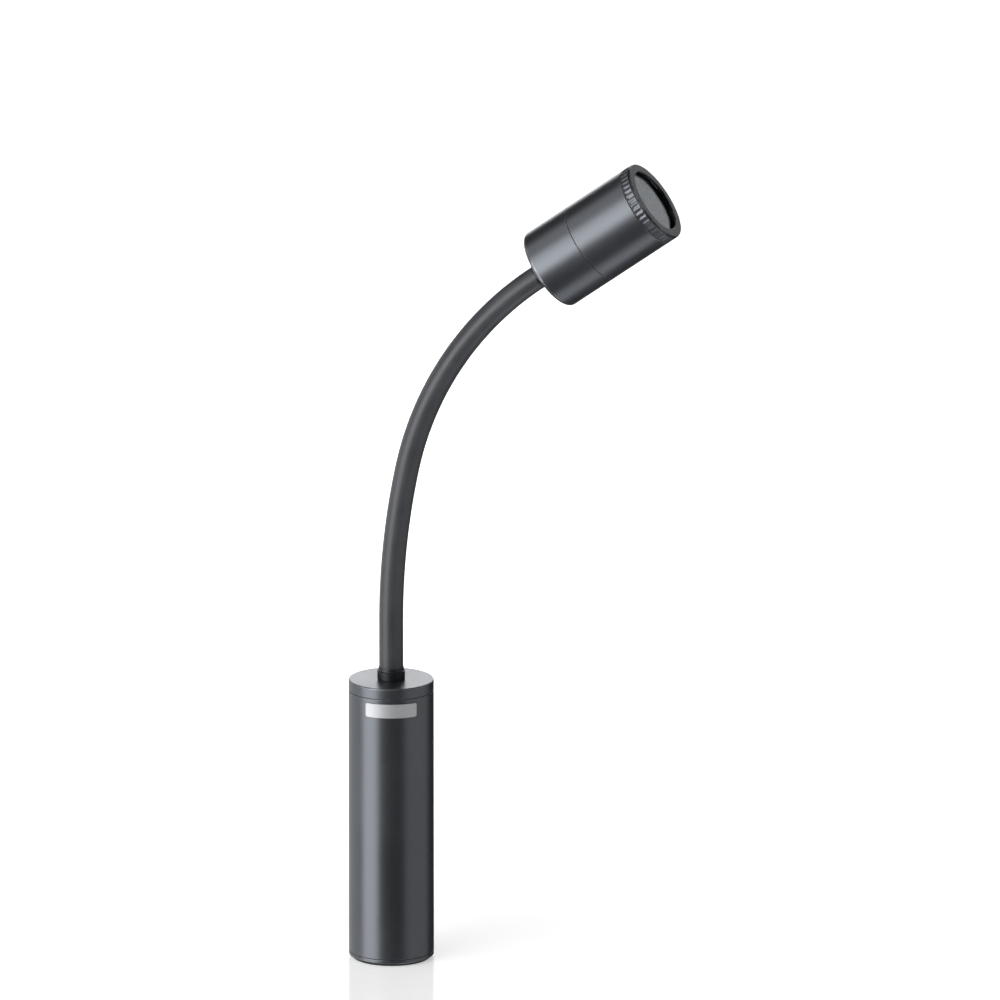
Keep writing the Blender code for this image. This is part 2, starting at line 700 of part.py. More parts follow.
def build_neck():
    """The chain of links. Each hangs from an empty on its own joint."""
    stand = None
    for number in range(1, NECK_JOINTS):
        place = link_place(number)
        kind = "sway" if number in SWAY_JOINTS else "bend"
        stand = make_stand(f"neck_{kind}_{number:02d}", place, stand)
        link = link_mesh(link_length(number))
        make_part(f"neck_link_{number:02d}", link, "steel", place, stand)
        sleeve = sleeve_mesh(number, place)
        make_part(f"neck_sleeve_{number:02d}", sleeve, "sleeve", place, stand)
    return make_stand(f"neck_bend_{NECK_JOINTS}", neck_place(NECK_LENGTH - NECK_END), stand)


# Head. Heights run from the middle of its rear face towards the front.

HEAD_PLACE = neck_place(NECK_LENGTH)


def build_head_fitting(stand):
    """The upper fitting: a ball for the last socket, a ferrule and a threaded stud with its nut."""
    joint = -NECK_END
    skirt = LINK_RADIUS + FERRULE_SPACE
    skirt_low = -FERRULE_REACH
    stud_top = REAR_WALL + GAP + NUT_HEIGHT + STUD_END
    fitting = [(radius, height + joint) for radius, height in ball_points()]
    fitting += [
        (WAIST_RADIUS, -FERRULE_DEPTH - FERRULE_TAPER),
        (skirt, -FERRULE_DEPTH),
        (skirt, skirt_low),
        (SLEEVE_RADIUS, skirt_low),
        (FERRULE_RADIUS, skirt_low + FERRULE_LIP),
        (FERRULE_RADIUS, -GAP),
        (STUD_RADIUS, -GAP),
        (STUD_RADIUS, stud_top),
        (LINK_BORE, stud_top),
    ]
    make_part("head_ferrule", turned(fitting, MODEST), "dark_anodised", HEAD_PLACE, stand)
    low = REAR_WALL + GAP
    nut = make_part("head_nut", hex_nut(low, low + NUT_HEIGHT), "steel", HEAD_PLACE, stand)
    combine(nut, rod(STUD_HOLE, 0, low + NUT_HEIGHT + SINK, MIDDLING), HEAD_PLACE)


def build_rear_housing(stand):
    rear = [(HEAD_BORE, REAR_LENGTH), (HEAD_RADIUS, REAR_LENGTH)]
    rear += arc(HEAD_RADIUS - REAR_FILLET, REAR_FILLET, REAR_FILLET, 0, -90, FILLET_STEPS)
    rear += [
        (STUD_HOLE, 0),
        (STUD_HOLE, REAR_WALL),
        (HEAD_BORE - INNER_FILLET, REAR_WALL),
        (HEAD_BORE, REAR_WALL + INNER_FILLET),
    ]
    make_part("head_rear_housing", turned(rear), "anodised", HEAD_PLACE, stand)


def build_heat_sink(stand):
    """A puck with fins to the rear, and tapped holes for the board's screws in front."""
    puck = ring(HEAD_FIT, LINK_BORE, SINK_START, SINK_END)
    puck = make_part("heat_sink", puck, "plain_aluminium", HEAD_PLACE, stand)
    fins_end = SINK_START + SINK_FINS
    slots = [rod(SINK_BORE, SINK_START - SINK, fins_end, MIDDLING)]
    half = FIN_SLOT_WIDTH / 2
    for index in range(FIN_SLOTS):
        middle = (index - (FIN_SLOTS - 1) / 2) * FIN_PITCH
        low = (middle - half, -HEAD_RADIUS, SINK_START - SINK)
        slots.append(block(low, (middle + half, HEAD_RADIUS, fins_end)))
    for slot in slots:
        combine(puck, slot, HEAD_PLACE)
    tapped = rod(BOARD_SCREW_RADIUS + GAP, SINK_END - BOARD_SCREW_LENGTH - GAP, SINK_END + SINK, TINY)
    combine(puck, together([tapped] * 2, screw_spots()), HEAD_PLACE)


def screw_spots():
    """Where the two screws of the light source's board go."""
    return [Matrix.Translation(on_circle(BOARD_SCREW_CIRCLE, angle)) for angle in around(2)]


def build_light_source(stand):
    board = rod(LED_BOARD_RADIUS, LED_BOARD_LOW, LED_BOARD_TOP, MIDDLING)
    board = make_part("led_board", board, "circuit_board", HEAD_PLACE, stand)
    hole = rod(BOARD_SCREW_RADIUS + GAP, SINK_END - SINK, LED_BOARD_TOP + SINK, TINY)
    combine(board, together([hole] * 2, screw_spots()), HEAD_PLACE)
    head_low = LED_BOARD_TOP + GAP
    screw = [
        (0, head_low + BOARD_SCREW_HEAD),
        (BOARD_SCREW_HEAD_RADIUS, head_low + BOARD_SCREW_HEAD),
        (BOARD_SCREW_HEAD_RADIUS, head_low),
        (BOARD_SCREW_RADIUS, head_low),
        (BOARD_SCREW_RADIUS, SINK_END - BOARD_SCREW_LENGTH),
        (0, SINK_END - BOARD_SCREW_LENGTH),
    ]
    for number, spot in enumerate(screw_spots(), 1):
        make_part(f"board_screw_{number}", turned(screw, TINY), "steel", HEAD_PLACE @ spot, stand)
    dome = arc(0, head_low + LED_HEIGHT, LED_DOME, 90, 0, DOME_STEPS)
    led = dome + [
        (LED_RADIUS, head_low + LED_HEIGHT),
        (LED_RADIUS, head_low),
        (0, head_low),
    ]
    make_part("led_emitter", turned(led, SMALL), "led", HEAD_PLACE, stand)
    front = head_low + COLLIMATOR_LENGTH
    hollow_top = head_low + LED_HEIGHT + LED_DOME + COLLIMATOR_ROOM
    collimator = [
        (0, front),
        (COLLIMATOR_RADIUS, front),
        (COLLIMATOR_RADIUS, front - COLLIMATOR_FLANGE),
        (COLLIMATOR_FOOT, head_low + COLLIMATOR_SHANK),
        (COLLIMATOR_FOOT, head_low),
        (COLLIMATOR_BORE, head_low),
        (COLLIMATOR_BORE, hollow_top - COLLIMATOR_CONE),
        (0, hollow_top),
    ]
    make_part("led_collimator", turned(collimator, MIDDLING), "glass", HEAD_PLACE, stand)


def build_barrel(stand):
    """The front housing: a spigot into the rear one, a bore for the carrier and a nose for the ring."""
    spigot_low = BARREL_START - SPIGOT_LENGTH
    spigot_bore = HEAD_FIT - SPIGOT_WALL
    carrier_bore_start = BARREL_START + SPIGOT_RUN + SPIGOT_TAPER
    barrel = [
        (FRONT_SEAT_RADIUS, BARREL_END),
        (NOSE_RADIUS, BARREL_END),
        (NOSE_RADIUS, RING_STEP),
        (HEAD_RADIUS, RING_STEP),
        (HEAD_RADIUS, BARREL_START),
        (HEAD_FIT, BARREL_START),
        (HEAD_FIT, spigot_low),
        (spigot_bore, spigot_low),
        (spigot_bore, BARREL_START + SPIGOT_RUN),
        (HEAD_BORE, carrier_bore_start),
        (HEAD_BORE, BORE_END - FRONT_STOP),
        (FRONT_BORE, BORE_END),
        (FRONT_BORE, FRONT_SEAT),
        (FRONT_SEAT_RADIUS, FRONT_SEAT),
    ]
    barrel = make_part("head_barrel", turned(barrel), "anodised", HEAD_PLACE, stand)
    low = carrier_bore_start + KEY_MARGIN
    high = BORE_END - FRONT_STOP - KEY_MARGIN
    half = KEY_WIDTH / 2
    key = block((-half, HEAD_BORE - KEY_DEPTH, low), (half, HEAD_BORE + HEAD_WALL / 2, high))
    combine(barrel, key, HEAD_PLACE, "UNION")


def build_front(stand):
    """What closes the front: a seal, the front glass and a bezel that also keeps the ring on."""
    inset = FRONT_SEAT_RADIUS - GAP
    seal = ring(inset, FRONT_BORE + GAP, SEAL_LOW, SEAL_LOW + SEAL_THICKNESS)
    make_part("glass_seal", seal, "rubber", HEAD_PLACE, stand)
    glass = rod(inset, GLASS_LOW, GLASS_TOP)
    make_part("front_glass", glass, "glass", HEAD_PLACE, stand)
    skirt_low = BEZEL_LOW - BEZEL_SKIRT
    bezel = [
        (BEZEL_BORE + BEZEL_FLANGE / 2, HEAD_LENGTH),
        (BEZEL_RADIUS - BEZEL_FLANGE / 2, HEAD_LENGTH),
        (BEZEL_RADIUS, HEAD_LENGTH - BEZEL_FLANGE / 2),
        (BEZEL_RADIUS, BEZEL_LOW),
        (inset, BEZEL_LOW),
        (inset, skirt_low),
        (inset - BEZEL_SKIRT_WALL, skirt_low),
        (inset - BEZEL_SKIRT_WALL, BEZEL_LOW),
        (BEZEL_BORE, BEZEL_LOW),
        (BEZEL_BORE, HEAD_LENGTH - BEZEL_FLANGE / 2),
    ]
    make_part("bezel", turned(bezel), "dark_anodised", HEAD_PLACE, stand)


def build_carrier(head):
    """The lens carrier, which slides along the barrel's key, with its lens and retaining ring."""
    stand = make_stand("lens_slide", HEAD_PLACE, head)
    seat = CARRIER_START + LENS_SEAT
    end = CARRIER_START + CARRIER_LENGTH
    inner = LENS_RADIUS + GAP
    carrier = [
        (inner, end),
        (HEAD_FIT, end),
        (HEAD_FIT, CARRIER_START),
        (CARRIER_BORE, CARRIER_START),
        (CARRIER_BORE, seat),
        (inner, seat),
    ]
    carrier = make_part("lens_carrier", turned(carrier), "dark_anodised", HEAD_PLACE, stand)
    half = KEY_WIDTH / 2 + GAP
    depth = HEAD_BORE - KEY_DEPTH - GAP
    slot = block((-half, depth, CARRIER_START - SINK), (half, HEAD_RADIUS, end + SINK))
    combine(carrier, slot, HEAD_PLACE)
    edge_top = LENS_LOW + LENS_EDGE
    centre = edge_top + LENS_CROWN - LENS_CURVE
    edge_angle = math.degrees(math.acos(LENS_RADIUS / LENS_CURVE))
    lens = arc(0, centre, LENS_CURVE, 90, edge_angle, LENS_STEPS)
    lens += [(LENS_RADIUS, LENS_LOW), (0, LENS_LOW)]
    make_part("condenser_lens", turned(lens), "glass", HEAD_PLACE, stand)
    ring_bore = LENS_RADIUS - LENS_RING_WALL
    ring_low = centre + math.sqrt(LENS_CURVE**2 - ring_bore**2) + GAP
    retainer = ring(LENS_RADIUS, ring_bore, ring_low, ring_low + LENS_RING_HEIGHT)
    make_part("lens_ring", retainer, "dark_anodised", HEAD_PLACE, stand)


def build_focus_ring(head):
    """The grip ring, fluted by pulling in every other line of its outer face."""

    def flute(shape):
        grip = HEAD_RADIUS - RING_CHAMFER / 2
        for corner in shape.verts:
            angle = math.atan2(corner.co.y, corner.co.x)
            line = round(angle / (math.pi / RING_FLUTES))
            if line % 2 and corner.co.xy.length > grip:
                corner.co.xy *= 1 - RING_FLUTE_DEPTH / HEAD_RADIUS

    edge = HEAD_RADIUS - RING_CHAMFER
    profile = [
        (NOSE_RADIUS + GAP, RING_END),
        (edge, RING_END),
        (HEAD_RADIUS, RING_END - RING_CHAMFER),
        (HEAD_RADIUS, RING_START + RING_CHAMFER),
        (edge, RING_START),
        (NOSE_RADIUS + GAP, RING_START),
    ]
    stand = make_stand("focus_turn", HEAD_PLACE, head)
    grip_ring = turned(profile, 2 * RING_FLUTES, flute)
    make_part("focus_ring", grip_ring, "anodised", HEAD_PLACE, stand)


def main():
    for thing in list(bpy.data.objects):
        bpy.data.objects.remove(thing)
    build_base_shell()
    build_base_tube()
    build_top_cap()
    build_battery()
    build_switch()
    build_inlet()
    build_nameplate()
    build_collar()
    head = build_neck()
    build_head_fitting(head)
    build_rear_housing(head)
    build_heat_sink(head)
    build_light_source(head)
    build_barrel(head)
    build_front(head)
    build_carrier(head)
    build_focus_ring(head)


main()
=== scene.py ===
"""Looks of a cordless examination lamp: a weighted round base, a bendable neck and a focusing head.

Every new piece is a surface worked out with numpy: a profile turned about an axis, or rings carried
along the neck's line. Lengths are in metres, in the frame's own axes.
"""

import json
import math

import bmesh
import bpy
import numpy as np
from mathutils import Matrix, Vector


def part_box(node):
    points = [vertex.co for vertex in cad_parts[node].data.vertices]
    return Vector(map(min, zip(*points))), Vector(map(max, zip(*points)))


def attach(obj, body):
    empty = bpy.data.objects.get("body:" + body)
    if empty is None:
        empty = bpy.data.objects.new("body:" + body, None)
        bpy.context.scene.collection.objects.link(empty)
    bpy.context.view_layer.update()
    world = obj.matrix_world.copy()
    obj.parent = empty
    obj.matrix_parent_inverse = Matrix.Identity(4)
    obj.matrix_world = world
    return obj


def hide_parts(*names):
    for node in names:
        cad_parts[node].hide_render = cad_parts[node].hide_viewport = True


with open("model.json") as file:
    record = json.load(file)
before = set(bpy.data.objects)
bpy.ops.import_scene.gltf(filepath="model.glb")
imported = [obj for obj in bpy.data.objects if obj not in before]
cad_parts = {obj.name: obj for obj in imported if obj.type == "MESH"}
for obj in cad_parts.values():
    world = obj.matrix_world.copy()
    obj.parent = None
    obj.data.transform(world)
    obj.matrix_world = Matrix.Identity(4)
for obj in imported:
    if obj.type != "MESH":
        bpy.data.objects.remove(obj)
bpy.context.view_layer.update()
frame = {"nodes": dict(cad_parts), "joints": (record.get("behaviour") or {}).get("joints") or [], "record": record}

MM = 0.001
SIDES = 160  # around the big turned pieces
SMALL_SIDES = 64
FIT = 0.3 * MM  # the gap that neighbouring pieces keep
SHARP = 40.0  # degrees between faces that still shade as one surface
MERGE = 0.0005 * MM  # points closer than this are one point
GUARD = 0.12 * MM  # how far a fillet's guard points lie beyond its ends


# The frame's own sizes


def joint(name):
    """A joint of the frame by name."""
    return next(j for j in frame["joints"] if j["name"] == name)


def placement(origin, axis):
    """Rotation and origin of a frame whose Z is the axis and whose Y is as near +Y as it can be."""
    along = np.array(axis, float) / np.linalg.norm(axis)
    across = np.cross((0.0, 1.0, 0.0), along)
    if np.linalg.norm(across) < 0.1:
        across = np.cross((0.0, 0.0, 1.0), along)
    across = across / np.linalg.norm(across)
    return np.column_stack([across, np.cross(along, across), along]), np.array(origin, float)


def local_points(node, place):
    """A CAD node's corners in a placement's own axes."""
    mesh = frame["nodes"][node].data
    points = np.empty(len(mesh.vertices) * 3)
    mesh.vertices.foreach_get("co", points)
    turn, origin = place
    return (points.reshape(-1, 3) - origin) @ turn


def span(node, place):
    """Lowest and highest distance along a placement's Z, and the largest radius from it."""
    points = local_points(node, place)
    return points[:, 2].min(), points[:, 2].max(), np.hypot(points[:, 0], points[:, 1]).max()


UPRIGHT = placement((0, 0, 0), (0, 0, 1))
HEAD_AXIS = np.array(joint("focus_turn")["axis"])
HEAD_GUESS = placement(joint("focus_turn")["pos_m"], HEAD_AXIS)
REAR_FACE = span("head_rear_housing", HEAD_GUESS)[0]
HEAD = placement(np.array(joint("focus_turn")["pos_m"]) + REAR_FACE * HEAD_AXIS, HEAD_AXIS)


# Meshes from grids


def set_smooth(mesh):
    """Smooth shading, except across edges that turn by more than the sharp angle."""
    mesh.shade_smooth()
    mesh.set_sharp_from_angle(angle=math.radians(SHARP))


def grid_object(name, grid, edge=None, uv=None, wrap_rows=True):
    """A closed mesh from a grid of points, whose neighbours in fours make its faces.

    The last column always joins the first, and the last row does if rows wrap. A row that shrinks
    to a point becomes a pole. The edge attribute says how far each row lies on an outer edge.
    """
    rows, columns = grid.shape[:2]
    index = np.arange(rows * columns).reshape(rows, columns)
    if wrap_rows:
        index = np.vstack([index, index[:1]])
    index = np.hstack([index, index[:, :1]])
    faces = np.stack([index[:-1, :-1], index[:-1, 1:], index[1:, 1:], index[1:, :-1]], -1)
    faces = faces.reshape(-1, 4)
    mesh = bpy.data.meshes.new(name)
    mesh.vertices.add(rows * columns)
    mesh.vertices.foreach_set("co", grid.reshape(-1).astype(np.float32))
    mesh.loops.add(faces.size)
    mesh.loops.foreach_set("vertex_index", faces.reshape(-1))
    mesh.polygons.add(len(faces))
    mesh.polygons.foreach_set("loop_start", np.arange(len(faces)) * 4)
    mesh.update(calc_edges=True)
    if edge is not None:
        worn = mesh.attributes.new("edge", "FLOAT", "POINT")
        values = np.repeat(np.asarray(edge, np.float32), columns)
        worn.data.foreach_set("value", values)
    if uv is not None:
        layer = mesh.uv_layers.new(name="surface")
        layer.data.foreach_set("uv", uv.reshape(-1, 2)[faces.reshape(-1)].reshape(-1))
    close_mesh(mesh)
    set_smooth(mesh)
    piece = bpy.data.objects.new(name, mesh)
    bpy.context.scene.collection.objects.link(piece)
    return piece


def close_mesh(mesh):
    """Merges what coincides, so that seams and poles close, and turns the faces outwards."""
    shape = bmesh.new()
    shape.from_mesh(mesh)
    bmesh.ops.remove_doubles(shape, verts=shape.verts[:], dist=MERGE)
    bmesh.ops.recalc_face_normals(shape, faces=shape.faces[:])
    shape.to_mesh(mesh)
    shape.free()


def rounded(corners, closed=True, steps=5):
    """A profile through (radius, height, fillet) corners, and how far each point lies on an edge.

    A filleted corner becomes an arc that touches both of its sides, with a guard point just
    beyond each end, so that the flats beside it stay flat when they are shaded.
    """
    corners = np.array(corners, float)
    points = corners[:, :2]
    ahead = np.roll(points, -1, axis=0)
    winding = np.sign(np.sum(points[:, 0] * ahead[:, 1] - ahead[:, 0] * points[:, 1]))
    profile, edge = [], []
    count = len(points)
    for number in range(count):
        here, fillet = points[number], corners[number, 2]
        if fillet == 0 or (not closed and number in (0, count - 1)):
            profile.append(here[None])
            edge.append([0.0])
            continue
        before = points[number - 1] - here
        after = points[(number + 1) % count] - here
        room = 0.45 * min(np.linalg.norm(before), np.linalg.norm(after))
        before, after = before / np.linalg.norm(before), after / np.linalg.norm(after)
        half = 0.5 * math.acos(np.clip(before @ after, -1, 1))
        reach = min(fillet / math.tan(half), room)
        radius = reach * math.tan(half)
        middle = (before + after) / np.linalg.norm(before + after)
        centre = here + middle * radius / math.sin(half)
        start, end = here + before * reach - centre, here + after * reach - centre
        sweep = math.pi - 2 * half
        share = np.linspace(0, 1, steps + 1)[:, None]
        bend = np.sin((1 - share) * sweep) * start + np.sin(share * sweep) * end
        bend = centre + bend / math.sin(sweep)
        slack = min(GUARD, 0.1 * room)
        ends = here + before * (reach + slack), here + after * (reach + slack)
        profile.append(np.vstack([ends[0], bend, ends[1]]))
        turn = before[0] * after[1] - before[1] * after[0]
        convex = 1.0 if turn * winding < 0 else 0.0
        edge.append([0.0] + [convex] * (steps + 1) + [0.0])
    return np.vstack(profile), np.concatenate(edge)


def turned_grid(profile, place, sides, ripple=None):
    """Points of a profile turned about a placement's Z: rows follow the profile, columns go round.

    Each point is (radius cos a, radius sin a, height). A ripple is added to the radius, as a
    function of the angle, the height and the radius.
    """
    angle = np.linspace(0, 2 * math.pi, sides, endpoint=False)[None, :]
    radius = np.repeat(profile[:, :1], sides, axis=1)
    height = np.repeat(profile[:, 1:2], sides, axis=1)
    if ripple is not None:
        radius = radius + ripple(angle, height, radius)
    points = np.stack([radius * np.cos(angle), radius * np.sin(angle), height], -1)
    turn, origin = place
    return points @ turn.T + origin


def turned(name, corners, place=UPRIGHT, sides=SIDES, solid=False, steps=5, ripple=None):
    """A turned piece. A solid one has a profile that starts and ends on its axis."""
    profile, edge = rounded(corners, closed=not solid, steps=steps)
    grid = turned_grid(profile, place, sides, ripple)
    return grid_object(name, grid, edge, wrap_rows=not solid)


def arc(centre_radius, centre_height, radius, start, end, count=16):
    """Corners on an arc, with angles in degrees from outwards towards the axis's end."""
    angle = np.radians(np.linspace(start, end, count))
    across = centre_radius + radius * np.cos(angle)
    up = centre_height + radius * np.sin(angle)
    return [(a, u, 0.0) for a, u in zip(across, up)]


def scaled(corners):
    """Corners given in millimetres, in metres."""
    return [(radius * MM, height * MM, fillet * MM) for radius, height, fillet in corners]


def drilled(piece, cutters):
    """Cuts the cutters out of a piece for good and clears them away."""
    for tool in cutters:
        cut = piece.modifiers.new("cut", "BOOLEAN")
        cut.operation = "DIFFERENCE"
        cut.solver = "EXACT"
        cut.object = tool
    graph = bpy.context.evaluated_depsgraph_get()
    mesh = bpy.data.meshes.new_from_object(piece.evaluated_get(graph))
    piece.modifiers.clear()
    old, piece.data = piece.data, mesh
    mesh.name = piece.name
    bpy.data.meshes.remove(old)
    for tool in cutters:
        bpy.data.objects.remove(tool)
    set_smooth(mesh)


def cutter(radius, low, high, place):
    """A plain rod that drilled() takes away."""
    corners = [(0, low, 0), (radius, low, 0), (radius, high, 0), (0, high, 0)]
    return turned("cutter", corners, place, sides=96, solid=True)


# Materials


class Finish:
    """One procedural material: short calls that add nodes to it and link them."""

    def __init__(self, name, coordinates="Object"):
        self.material = bpy.data.materials.new(name)
        self.material.use_nodes = True
        self.tree = self.material.node_tree
        self.surface = self.tree.nodes["Principled BSDF"]
        self.place = self.tree.nodes.new("ShaderNodeTexCoord").outputs[coordinates]

    def feed(self, socket, value):
        if isinstance(value, bpy.types.NodeSocket):
            self.tree.links.new(value, socket)
        else:
            socket.default_value = value

    def node(self, kind, inputs, output=0, **settings):
        made = self.tree.nodes.new(kind)
        for key, value in settings.items():
            setattr(made, key, value)
        for key, value in inputs.items():
            self.feed(made.inputs[key], value)
        return made.outputs[output]

    def noise(self, scale, detail=3.0, stretch=(1.0, 1.0, 1.0), roughness=0.5):
        """Soft noise with so many waves to the metre, closer along an axis that is stretched."""
        place = self.node("ShaderNodeMapping", {"Vector": self.place, "Scale": stretch})
        inputs = {"Vector": place, "Scale": scale, "Detail": detail, "Roughness": roughness}
        return self.node("ShaderNodeTexNoise", inputs)

    def span(self, value, low, high, start, end):
        """The value's run from low to high, as a run from start to end."""
        inputs = {"Value": value, "From Min": low, "From Max": high, "To Min": start, "To Max": end}
        return self.node("ShaderNodeMapRange", inputs)

    def mix(self, share, one, other):
        made = self.tree.nodes.new("ShaderNodeMix")
        made.data_type = "RGBA"
        for index, value in ((0, share), (6, one), (7, other)):
            if isinstance(value, tuple):
                value = (*value, 1.0)
            self.feed(made.inputs[index], value)
        return made.outputs[2]

    def sum(self, one, other, operation="ADD"):
        """The two values added, or put together by another operation."""
        return self.node("ShaderNodeMath", {0: one, 1: other}, operation=operation)

    def attribute(self, name):
        made = self.tree.nodes.new("ShaderNodeAttribute")
        made.attribute_name = name
        return made.outputs["Fac"]

    def bump(self, height, distance, strength=1.0):
        inputs = {"Height": height, "Distance": distance, "Strength": strength}
        self.feed(self.surface.inputs["Normal"], self.node("ShaderNodeBump", inputs))

    def set(self, **values):
        """Feeds the surface's sockets by name, with _ for a space."""
        for key, value in values.items():
            if isinstance(value, tuple):
                value = (*value, 1.0)
            self.feed(self.surface.inputs[key.replace("_", " ")], value)


def shade(colour, factor):
    """A colour made lighter or darker."""
    return tuple(min(channel * factor, 1.0) for channel in colour)


def metal(
    name, colour, roughness, metallic=0.9, grain=2400.0, bite=0.010, stretch=(1, 1, 1), wear=0.3
):
    """Blasted or brushed metal: fine grain, slow changes from handling and edges rubbed paler."""
    finish = Finish(name)
    handled = finish.noise(17.0, 5.0, roughness=0.62)
    fine = finish.noise(grain, 2.0, stretch)
    share = finish.span(handled, 0.35, 0.65, 0, 1)
    tone = finish.mix(share, shade(colour, 0.94), shade(colour, 1.06))
    tone = finish.mix(finish.span(fine, 0.3, 0.7, 0, 0.5), tone, shade(colour, 1.14))
    rubbed = finish.span(finish.noise(260.0, 4.0), 0.42, 0.66, 0.25, 1)
    rubbed = finish.sum(finish.sum(finish.attribute("edge"), rubbed, "MULTIPLY"), wear, "MULTIPLY")
    tone = finish.mix(rubbed, tone, (0.56, 0.57, 0.59))
    rough = finish.span(handled, 0.3, 0.7, roughness - 0.035, roughness + 0.035)
    finish.set(Base_Color=tone, Metallic=metallic, Roughness=rough)
    finish.bump(fine, bite * MM, 0.7)
    return finish.material


def plastic(name, colour, roughness, grain=1500.0, bite=0.03, coordinates="Object", wear=0.0):
    """Moulded plastic or rubber: spark-eroded grain, faint clouding and a little dust."""
    finish = Finish(name, coordinates)
    cloud = finish.noise(38.0, 5.0, roughness=0.6)
    fine = finish.noise(grain, 2.0)
    tone = finish.mix(finish.span(cloud, 0.35, 0.65, 0, 1), shade(colour, 0.9), shade(colour, 1.12))
    if wear:
        rubbed = finish.sum(finish.attribute("edge"), wear, "MULTIPLY")
        tone = finish.mix(rubbed, tone, shade(colour, 2.6))
    rough = finish.span(cloud, 0.3, 0.7, roughness - 0.04, roughness + 0.05)
    finish.set(Base_Color=tone, Roughness=rough)
    finish.bump(fine, bite * MM, 0.6)
    return finish.material


def glass(name, colour, roughness, index=1.5):
    """Clear glass or acrylic with faint wipe marks."""
    finish = Finish(name)
    wiped = finish.noise(60.0, 4.0, (1.0, 0.25, 1.0))
    rough = finish.span(wiped, 0.45, 0.75, roughness, roughness + 0.03)
    tone = finish.mix(finish.span(wiped, 0.4, 0.7, 0, 1), colour, shade(colour, 0.97))
    finish.set(Base_Color=tone, Roughness=rough, IOR=index, Transmission_Weight=1.0)
    return finish.material


def circuit(name):
    """Green solder mask over copper tracks, with bare tinned pads."""
    finish = Finish(name)
    inputs = {"Vector": finish.place, "Scale": 260.0, "Randomness": 0.25}
    track = finish.node("ShaderNodeTexVoronoi", inputs, feature="DISTANCE_TO_EDGE")
    tone = finish.mix(finish.span(track, 0.05, 0.09, 1, 0), (0.012, 0.10, 0.05), (0.03, 0.20, 0.09))
    inputs = {"Vector": finish.place, "Scale": 150.0, "Randomness": 0.6}
    pad = finish.node("ShaderNodeTexVoronoi", inputs)
    bare = finish.span(pad, 0.14, 0.18, 1, 0)
    tone = finish.mix(bare, tone, (0.62, 0.60, 0.52))
    finish.set(Base_Color=tone, Roughness=finish.span(track, 0, 0.1, 0.3, 0.45), Metallic=bare)
    finish.bump(track, 0.03 * MM)
    return finish.material


def wrapped_cell(name, low, high):
    """Shrink wrap with a plain pale band near the cell's top and bare metal at its ends."""
    finish = Finish(name)
    height = finish.node("ShaderNodeSeparateXYZ", {"Vector": finish.place}, output=2)
    above = finish.sum(height, high - 11 * MM, "GREATER_THAN")
    below = finish.sum(height, high - 7 * MM, "LESS_THAN")
    band = finish.sum(above, below, "MULTIPLY")
    crease = finish.noise(420.0, 3.0, (1, 1, 0.12))
    tone = finish.mix(finish.span(crease, 0.35, 0.65, 0, 1), (0.035, 0.15, 0.36), (0.06, 0.23, 0.5))
    tone = finish.mix(band, tone, (0.62, 0.64, 0.66))
    top = finish.sum(height, high - 1 * MM, "GREATER_THAN")
    bare = finish.sum(top, finish.sum(height, low + 1 * MM, "LESS_THAN"))
    tone = finish.mix(bare, tone, (0.6, 0.6, 0.6))
    finish.set(Base_Color=tone, Metallic=bare, Roughness=0.32)
    finish.bump(crease, 0.05 * MM)
    return finish.material


def brushed_plate(name):
    """Nameplate metal, brushed along its length and left blank."""
    finish = Finish(name, "UV")
    lines = finish.noise(1.0, 3.0, (90.0, 9000.0, 1.0))
    tone = finish.mix(finish.span(lines, 0.3, 0.7, 0, 1), (0.43, 0.44, 0.46), (0.58, 0.59, 0.61))
    finish.set(Base_Color=tone, Metallic=0.65, Roughness=finish.span(lines, 0.3, 0.7, 0.42, 0.54))
    finish.bump(lines, 0.012 * MM)
    return finish.material


GREY = (0.128, 0.136, 0.150)
# a lighter copy of the body's grey, painted light that makes up for the shade in the focus ring's flutes
GREY_PAINTED_LIGHTER = (0.135, 0.143, 0.157)
DARK = (0.045, 0.047, 0.052)
BODY = metal("satin_grey_metal", GREY, 0.34)
TRIM = metal("dark_metal", DARK, 0.38, metallic=0.85)
GRIP_PAINTED_LIGHTER = metal("grip_metal_painted_lighter", GREY_PAINTED_LIGHTER, 0.36)
STEEL = metal("turned_steel", (0.42, 0.43, 0.45), 0.3, 1.0, 900.0, 0.02, (1, 1, 6), wear=0.0)
SINK = metal("machined_aluminium", (0.62, 0.63, 0.64), 0.34, 1.0, 700.0, 0.02, (1, 8, 1), wear=0.0)
SLEEVE = plastic("neck_sleeve_cover", (0.038, 0.040, 0.045), 0.36, 2200.0, 0.02, "UV")
RUBBER = plastic("rubber", (0.020, 0.020, 0.022), 0.74, 1300.0, 0.06, wear=0.1)
BLACK = plastic("black_plastic", (0.022, 0.022, 0.025), 0.46, wear=0.25)
LED = plastic("led_phosphor", (0.82, 0.62, 0.14), 0.32, 3000.0, 0.01)
GLASS = glass("front_glass", (0.93, 0.97, 0.96), 0.01)
ACRYLIC = glass("acrylic", (0.97, 0.98, 1.0), 0.015, 1.49)
BOARD = circuit("circuit_board")
PLATE = brushed_plate("brushed_nameplate")


def dress(piece, material, body, slot, *nodes):
    """Gives a piece its material and its body, and hides the CAD nodes it stands for. The slot is not used."""
    piece.data.materials.clear()
    piece.data.materials.append(material)
    if body:
        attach(piece, body)
    if nodes:
        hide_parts(*nodes)


# Base

